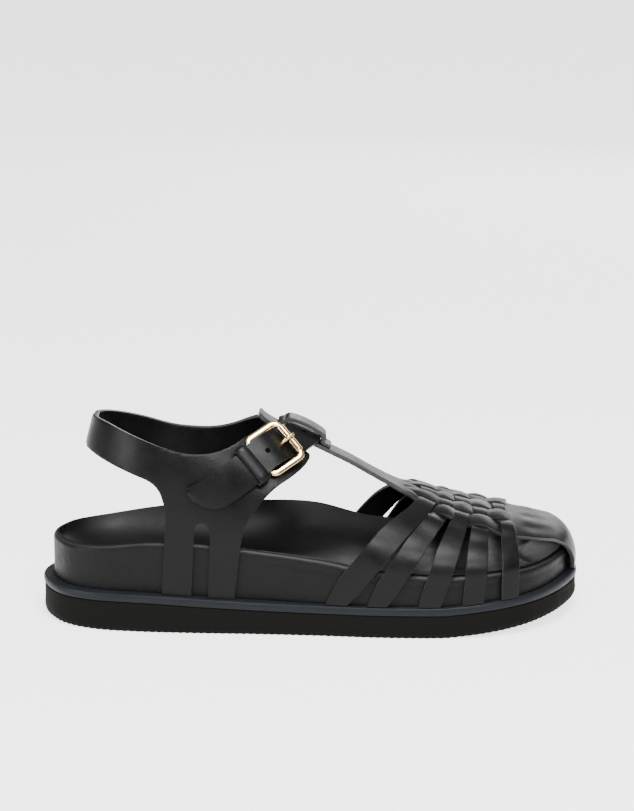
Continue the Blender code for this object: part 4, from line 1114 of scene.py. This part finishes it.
def make_buckle(materials):
    """Frame: a round bar round a rectangle with rounded corners. Roller: a sleeve. Prong: a tapering wire."""
    inner_bar, roller_bar, across, up = buckle_bars()
    forward = roller_bar - inner_bar
    length = float(np.linalg.norm(forward))
    forward = forward / length
    half = BUCKLE_WIDTH / 2
    corners = np.array([inner_bar - across * half, inner_bar + across * half,
                        roller_bar + across * half, roller_bar - across * half])
    bend = BUCKLE_BAR * FRAME_BEND
    path = []
    for i, corner in enumerate(corners):
        before = corners[i - 1] - corner
        after = corners[(i + 1) % 4] - corner
        before = before / np.linalg.norm(before) * bend
        after = after / np.linalg.norm(after) * bend
        path.append(arc(corner + before, corner, corner + after, np.linspace(0, 1, 22)[:, None]))
        straight = corners[(i + 1) % 4] - corner - 2 * after
        path.append(corner + after + straight * np.linspace(0.1, 0.9, 9)[:, None])
    path = np.concatenate(path)
    beside = ease((np.abs((path - inner_bar) @ across) / half - SIDE_BAR_START) / (1 - SIDE_BAR_START))
    frame_bar = sweep("gold_buckle_frame", path, BUCKLE_BAR / 2 * (1 + SIDE_BAR_WIDENING * beside), materials,
                      48, up, 0.92 - 0.20 * beside, True, 0.80)
    stands_for(frame_bar, "gold_metal", "buckle_frame")
    reach = BUCKLE_WIDTH / 2 - BUCKLE_BAR - CLEARANCE
    along = np.array([-1, -0.985, -0.95, -0.9, 0.9, 0.95, 0.985, 1.0])
    radii = ROLLER_DIAMETER / 2 * np.array([0.86, 0.95, 0.99, 1, 1, 0.99, 0.95, 0.86])
    line = roller_bar + across * (reach * along)[:, None]
    roller = sweep("gold_buckle_roller", line, radii, materials, 32, up)
    stands_for(roller, "gold_metal", "buckle_roller")
    places = np.linspace(INNER_BAR_PLACE, ROLLER_PLACE, 16)
    underside = ankle_frame(places, strap_underside(places))[0] - inner_bar
    ahead = underside @ forward
    above = underside @ up
    hole = PRONG_HOLE_SHARE * length
    dip = hole - 1.5 * PRONG_DIAMETER
    room = PRONG_DIAMETER / 2 + CLEARANCE
    rest = ROLLER_DIAMETER / 2 + room
    stops = {"row": np.arange(7.0), "ahead": np.array([
        BUCKLE_BAR / 2 + room, dip / 2, dip, hole, length - ROLLER_DIAMETER * 0.6, length,
        length + ROLLER_DIAMETER * 0.5])}
    stops["above"] = np.array([
        0.0, min(float(np.interp(dip / 2, ahead, above)) - room, 0.0), np.interp(dip, ahead, above) - room,
        np.interp(hole, ahead, above) + ANKLE_STRAP_LEATHER / 2, rest * 0.9, rest, rest * 0.92])
    rows = np.linspace(0, 6, 60)
    line = (inner_bar + forward * read(stops, "ahead", rows, "row")[:, None]
            + up * read(stops, "above", rows, "row")[:, None])
    tip = np.clip((rows - 5.6) / 0.42, 0, 1)
    radii = PRONG_DIAMETER / 2 * np.sqrt(np.clip(1 - tip ** 2, 0.08, 1))
    prong = sweep("gold_buckle_prong", line, radii, materials, 20, up, 0.9)
    stands_for(prong, "gold_metal", "buckle_prong")


# Finishes


def shader_material(name, colour, roughness, metallic=0.0, coat=0.0, coat_roughness=0.2, level=0.5):
    """A Principled material with its constants on the shader's own sockets."""
    material = bpy.data.materials.new(name)
    material.use_nodes = True
    shader = material.node_tree.nodes["Principled BSDF"]
    shader.inputs["Base Color"].default_value = (*colour, 1.0)
    shader.inputs["Roughness"].default_value = roughness
    shader.inputs["Metallic"].default_value = metallic
    shader.inputs["Coat Weight"].default_value = coat
    shader.inputs["Coat Roughness"].default_value = coat_roughness
    shader.inputs["Specular IOR Level"].default_value = level
    return material, shader


def add(material, kind, **values):
    node = material.node_tree.nodes.new(kind)
    for name, value in values.items():
        if name in node.inputs:
            node.inputs[name].default_value = value
        else:
            setattr(node, name, value)
    return node


def link(material, source, target):
    material.node_tree.links.new(source, target)


def stretched(material, stretch):
    """Object coordinates scaled along each axis."""
    where = add(material, "ShaderNodeTexCoord")
    mapping = add(material, "ShaderNodeMapping", Scale=stretch)
    link(material, where.outputs["Object"], mapping.inputs["Vector"])
    return mapping.outputs["Vector"]


def bump_chain(material, shader, layers):
    """Bumps one after the other; each layer is a height socket, its depth in metres and its strength."""
    before = None
    for height, distance, strength in layers:
        bump = add(material, "ShaderNodeBump", Strength=strength, Distance=distance)
        link(material, height, bump.inputs["Height"])
        if before is not None:
            link(material, before, bump.inputs["Normal"])
        before = bump.outputs["Normal"]
    link(material, before, shader.inputs["Normal"])


def noise(material, scale, detail, stretch=(1, 1, 1), roughness=0.5, distortion=0.0):
    """A noise texture's factor over Object coordinates."""
    node = add(material, "ShaderNodeTexNoise", Scale=scale, Detail=detail, Roughness=roughness,
               Distortion=distortion)
    link(material, stretched(material, stretch), node.inputs["Vector"])
    return node.outputs["Fac"]


def varied(material, shader, factor, low, high):
    """A roughness that runs from low to high with a texture's factor."""
    spread = add(material, "ShaderNodeMapRange")
    for name, value in (("To Min", low), ("To Max", high), ("From Min", 0.3), ("From Max", 0.7)):
        spread.inputs[name].default_value = value
    link(material, factor, spread.inputs["Value"])
    link(material, spread.outputs["Result"], shader.inputs["Roughness"])


def tinted(material, shader, factor, colour, low, high):
    """A colour that runs from its low to its high share with a texture's factor."""
    ramp = add(material, "ShaderNodeValToRGB")
    for stop, place, share in zip(ramp.color_ramp.elements, (0.3, 0.7), (low, high)):
        stop.position = place
        stop.color = (*(min(c * share, 1.0) for c in colour), 1.0)
    link(material, factor, ramp.inputs["Fac"])
    link(material, ramp.outputs["Color"], shader.inputs["Base Color"])


def smooth_leather(name, colour, roughness, grain=0.35, wrinkle=0.25, wrinkle_size=(60, 60, 60)):
    """Smooth leather: fine pebble grain, faint long wrinkles and an uneven soft gloss."""
    material, shader = shader_material(name, colour, roughness, coat=0.02, coat_roughness=0.30, level=0.095)
    pebble = add(material, "ShaderNodeTexVoronoi", Scale=1500.0, feature="SMOOTH_F1")
    link(material, stretched(material, (1, 1, 1)), pebble.inputs["Vector"])
    pores = noise(material, 2600.0, 2.0)
    folds = noise(material, 1.0, 5.0, wrinkle_size, 0.62, 0.6)
    cloud = noise(material, 90.0, 3.0)
    bump_chain(material, shader, [(folds, 0.0009, wrinkle), (pebble.outputs["Distance"], 0.00012, grain),
                                  (pores, 0.00006, grain)])
    varied(material, shader, cloud, roughness - 0.05, roughness + 0.08)
    tinted(material, shader, cloud, colour, 0.82, 1.25)
    return material


def cut_edge(name, colour):
    """The cut and dyed edge of the leather: fibrous and a little paler."""
    material, shader = shader_material(name, colour, 0.42, level=0.22)
    fibre = noise(material, 1800.0, 3.0)
    bump_chain(material, shader, [(fibre, 0.0001, 0.5)])
    tinted(material, shader, fibre, colour, 0.7, 1.4)
    return material


def hole_shade_finish(name, colour):
    """The inside of a punched hole: nearly black as painted shade, with raw fibres."""
    material, shader = shader_material(name, colour, 0.9, level=0.02)
    bump_chain(material, shader, [(noise(material, 2500.0, 2.0), 0.0001, 0.5)])
    return material


def foam_finish(name, colour):
    """Moulded foam: matt skin with fine pits and faint cloudy wear."""
    material, shader = shader_material(name, colour, 0.80, level=0.06)
    pits = noise(material, 1500.0, 4.0, roughness=0.7)
    cloud = noise(material, 130.0, 5.0, roughness=0.7)
    bump_chain(material, shader, [(cloud, 0.0004, 0.35), (pits, 0.00022, 0.7)])
    varied(material, shader, cloud, 0.70, 0.88)
    tinted(material, shader, cloud, colour, 0.75, 1.35)
    return material


def runner_finish(name, colour):
    """The slate runner: satin, with faint lines along it and small scuffs."""
    material, shader = shader_material(name, colour, 0.46, level=0.10)
    lines = noise(material, 1.0, 4.0, (70, 70, 1400), 0.6)
    specks = noise(material, 700.0, 3.0)
    bump_chain(material, shader, [(lines, 0.00022, 0.5), (specks, 0.00008, 0.4)])
    varied(material, shader, specks, 0.40, 0.56)
    tinted(material, shader, lines, colour, 0.80, 1.25)
    return material


def gold_finish(name, colour):
    """Polished gold plate with faint cloudy wear."""
    material, shader = shader_material(name, colour, 0.12, metallic=1.0)
    cloud = noise(material, 420.0, 3.0)
    bump_chain(material, shader, [(cloud, 0.00003, 0.4)])
    varied(material, shader, cloud, 0.08, 0.17)
    tinted(material, shader, cloud, colour, 0.93, 1.05)
    return material


def leathers(colours):
    """The strap leather with its cut edge."""
    colour = tuple(colours.leather)
    return [smooth_leather("strap_leather", colour, 0.36),
            cut_edge("leather_cut_edge", tuple(colours.cut_edge))]


# What a user may change


class SandalSizes(bpy.types.PropertyGroup):
    """The groove's depth and the strengths of the lights"""
    groove: FloatProperty(name="Footbed groove", description="Depth of the groove under the footbed's rim",
                          default=0.00022, min=0.0, max=0.001, unit="LENGTH")
    key_energy: FloatProperty(name="Key light", description="Power of the main soft light",
                              default=42.0, min=0.0, unit="POWER")
    back_energy: FloatProperty(name="Back light", description="Power of the low soft light behind the shoe",
                               default=7.5, min=0.0, unit="POWER")
    floor_glow: FloatProperty(name="Floor glow", description="Strength of the floor's own white light",
                              default=2.30, min=0.0, max=10.0)
    room: FloatProperty(name="Room light", description="Strength of the white room light", default=0.80,
                        min=0.0, max=5.0)


def colour_property(name, description, default):
    return FloatVectorProperty(name=name, description=description, subtype="COLOR", default=default,
                               min=0.0, max=1.0)


class SandalColours(bpy.types.PropertyGroup):
    """The base colours of the materials"""
    leather: colour_property("Leather", "Colour of the smooth leather", (0.0020, 0.0023, 0.0021))
    cut_edge: colour_property("Cut edge", "Colour of the leather's cut edges", (0.020, 0.021, 0.020))
    foam: colour_property("Foam", "Colour of the outsole", (0.0022, 0.0022, 0.0017))
    runner: colour_property("Runner", "Colour of the runner round the sole", (0.0052, 0.0062, 0.0080))
    metal: colour_property("Metal", "Colour of the buckle", (0.50, 0.34, 0.17))
    floor: colour_property("Floor", "Colour of the plain floor", (0.45, 0.45, 0.45))


class SANDAL_OT_sole(bpy.types.Operator):
    """Make the foam outsole and the slate runner"""
    bl_idname = "sandal.sole"
    bl_label = "Sole"

    def execute(self, context):
        colours = context.scene.sandal_colours
        make_outsole([foam_finish("foam_skin", tuple(colours.foam))])
        make_runner([runner_finish("runner_skin", tuple(colours.runner))])
        return {"FINISHED"}


class SANDAL_OT_footbed(bpy.types.Operator):
    """Make the leather-wrapped footbed and its cover"""
    bl_idname = "sandal.footbed"
    bl_label = "Footbed"

    def execute(self, context):
        colour = tuple(context.scene.sandal_colours.leather)
        wrap = smooth_leather("footbed_leather", colour, 0.46, 0.50, 0.36, (240, 240, 260))
        cover = smooth_leather("footbed_cover", colour, 0.50, 0.30, 0.14)
        # Five times lighter leather for the rim's roll: wear with a painted highlight
        rim_wear_and_highlight = smooth_leather("footbed_rim_wear_and_highlight", tuple(c * 5.0 for c in colour), 0.46, 0.3, 0.1)
        make_footbed([wrap, rim_wear_and_highlight], context.scene.sandal_sizes.groove)
        make_insole([cover, wrap])
        return {"FINISHED"}


class SANDAL_OT_front(bpy.types.Operator):
    """Make the T-bar, the woven strips, the cross straps and the toe strap"""
    bl_idname = "sandal.front"
    bl_label = "Woven front"

    def execute(self, context):
        materials = leathers(context.scene.sandal_colours)
        make_long_piece(materials)
        for index in range(len(CROSS_STRAPS["crown"])):
            make_cross_strap(index, materials)
        make_tbar_loop(materials)
        return {"FINISHED"}


class SANDAL_OT_quarter(bpy.types.Operator):
    """Make the two side panels with the heel strap"""
    bl_idname = "sandal.quarter"
    bl_label = "Quarter"

    def execute(self, context):
        make_quarter(leathers(context.scene.sandal_colours))
        return {"FINISHED"}


class SANDAL_OT_ankle_strap(bpy.types.Operator):
    """Make the ankle strap, its holes and the keeper"""
    bl_idname = "sandal.ankle_strap"
    bl_label = "Ankle strap"

    def execute(self, context):
        materials = leathers(context.scene.sandal_colours)
        make_ankle_strap(materials)
        # The holes' near-black colour is painted shade inside them
        make_strap_holes(hole_shade_finish("punched_hole_shade", (0.0012, 0.0012, 0.0012)))
        make_keeper(materials)
        return {"FINISHED"}


class SANDAL_OT_buckle(bpy.types.Operator):
    """Make the gold roller buckle"""
    bl_idname = "sandal.buckle"
    bl_label = "Buckle"

    def execute(self, context):
        make_buckle([gold_finish("polished_gold", tuple(context.scene.sandal_colours.metal))])
        return {"FINISHED"}


def area_light(name, place, target, size, energy):
    """A white rectangular light that faces its target."""
    light = bpy.data.lights.new(name, "AREA")
    light.shape = "RECTANGLE"
    light.size, light.size_y = size
    light.energy = energy
    made = bpy.data.objects.new(name, light)
    bpy.context.scene.collection.objects.link(made)
    made.location = place
    made.rotation_euler = (Vector(target) - Vector(place)).to_track_quat("-Z", "Y").to_euler()


class SANDAL_OT_stage(bpy.types.Operator):
    """Make the plain pale floor, the soft lights and the camera"""
    bl_idname = "sandal.stage"
    bl_label = "Stage"

    def execute(self, context):
        sizes = context.scene.sandal_sizes
        mesh = bpy.data.meshes.new("floor")
        mesh.from_pydata([(-6, -4, 0), (6, -4, 0), (6, 8, 0), (-6, 8, 0)], [], [(0, 1, 2, 3)])
        colour = tuple(context.scene.sandal_colours.floor)
        paint, shader = shader_material("floor_paint", colour, 0.9, level=0.0)
        shader.inputs["Emission Color"].default_value = (1.0, 1.0, 1.0, 1.0)
        shader.inputs["Emission Strength"].default_value = sizes.floor_glow
        mesh.materials.append(paint)
        ground = bpy.data.objects.new("floor", mesh)
        context.scene.collection.objects.link(ground)
        world = bpy.data.worlds.new("soft room")
        context.scene.world = world
        world.use_nodes = True
        tree = world.node_tree
        tree.nodes["Background"].inputs["Strength"].default_value = sizes.room
        where = tree.nodes.new("ShaderNodeTexCoord")
        parts = tree.nodes.new("ShaderNodeSeparateXYZ")
        ramp = tree.nodes.new("ShaderNodeValToRGB")
        for stop, place, grey in zip(ramp.color_ramp.elements, (0.02, 0.75), (0.16, 1.0)):
            stop.position = place
            stop.color = (grey, grey, grey, 1.0)
        tree.links.new(where.outputs["Generated"], parts.inputs["Vector"])
        tree.links.new(parts.outputs["Z"], ramp.inputs["Fac"])
        tree.links.new(ramp.outputs["Color"], tree.nodes["Background"].inputs["Color"])
        key = sizes.key_energy
        area_light("over", (0.10, -0.45, 1.25), (0.03, 0.0, 0.05), (0.55, 0.45), key)
        area_light("left", (-1.25, -0.75, 0.45), (-0.08, 0.0, 0.07), (0.5, 0.7), key * LEFT_SHARE)
        area_light("front", (0.25, -1.30, 1.05), (0.03, 0.0, 0.05), (0.8, 0.35), key * FRONT_SHARE)
        area_light("behind", (0.40, 1.35, 0.46), (0.02, 0.0, 0.06), (0.9, 0.5), sizes.back_energy)
        lens = bpy.data.cameras.new("photo_camera")
        lens.sensor_width = CAMERA_SENSOR
        lens.lens = CAMERA_LENS
        lens.clip_start = 0.05
        camera = bpy.data.objects.new("photo_camera", lens)
        context.scene.collection.objects.link(camera)
        camera.location = CAMERA_PLACE
        camera.rotation_euler = [math.radians(angle) for angle in CAMERA_TURN]
        context.scene.camera = camera
        return {"FINISHED"}


class SANDAL_PT_panel(bpy.types.Panel):
    """The sandal's pieces, sizes and colours"""
    bl_idname = "SANDAL_PT_panel"
    bl_label = "Fisherman sandal"
    bl_space_type = "VIEW_3D"
    bl_region_type = "UI"
    bl_category = "Sandal"

    def draw(self, context):
        for step in STEPS:
            self.layout.operator(step.bl_idname)
        for group in (context.scene.sandal_sizes, context.scene.sandal_colours):
            for name in group.__annotations__:
                self.layout.prop(group, name)


STEPS = (SANDAL_OT_sole, SANDAL_OT_footbed, SANDAL_OT_front, SANDAL_OT_quarter, SANDAL_OT_ankle_strap,
         SANDAL_OT_buckle, SANDAL_OT_stage)
CLASSES = (SandalSizes, SandalColours) + STEPS + (SANDAL_PT_panel,)


def register():
    for item in CLASSES:
        bpy.utils.register_class(item)
    bpy.types.Scene.sandal_sizes = PointerProperty(type=SandalSizes)
    bpy.types.Scene.sandal_colours = PointerProperty(type=SandalColours)


def unregister():
    del bpy.types.Scene.sandal_colours
    del bpy.types.Scene.sandal_sizes
    for item in reversed(CLASSES):
        bpy.utils.unregister_class(item)


def main():
    register()
    bpy.ops.sandal.sole()
    bpy.ops.sandal.footbed()
    bpy.ops.sandal.front()
    bpy.ops.sandal.quarter()
    bpy.ops.sandal.ankle_strap()
    bpy.ops.sandal.buckle()
    bpy.ops.sandal.stage()
    bpy.context.view_layer.update()


if __name__ == "__main__":
    main()
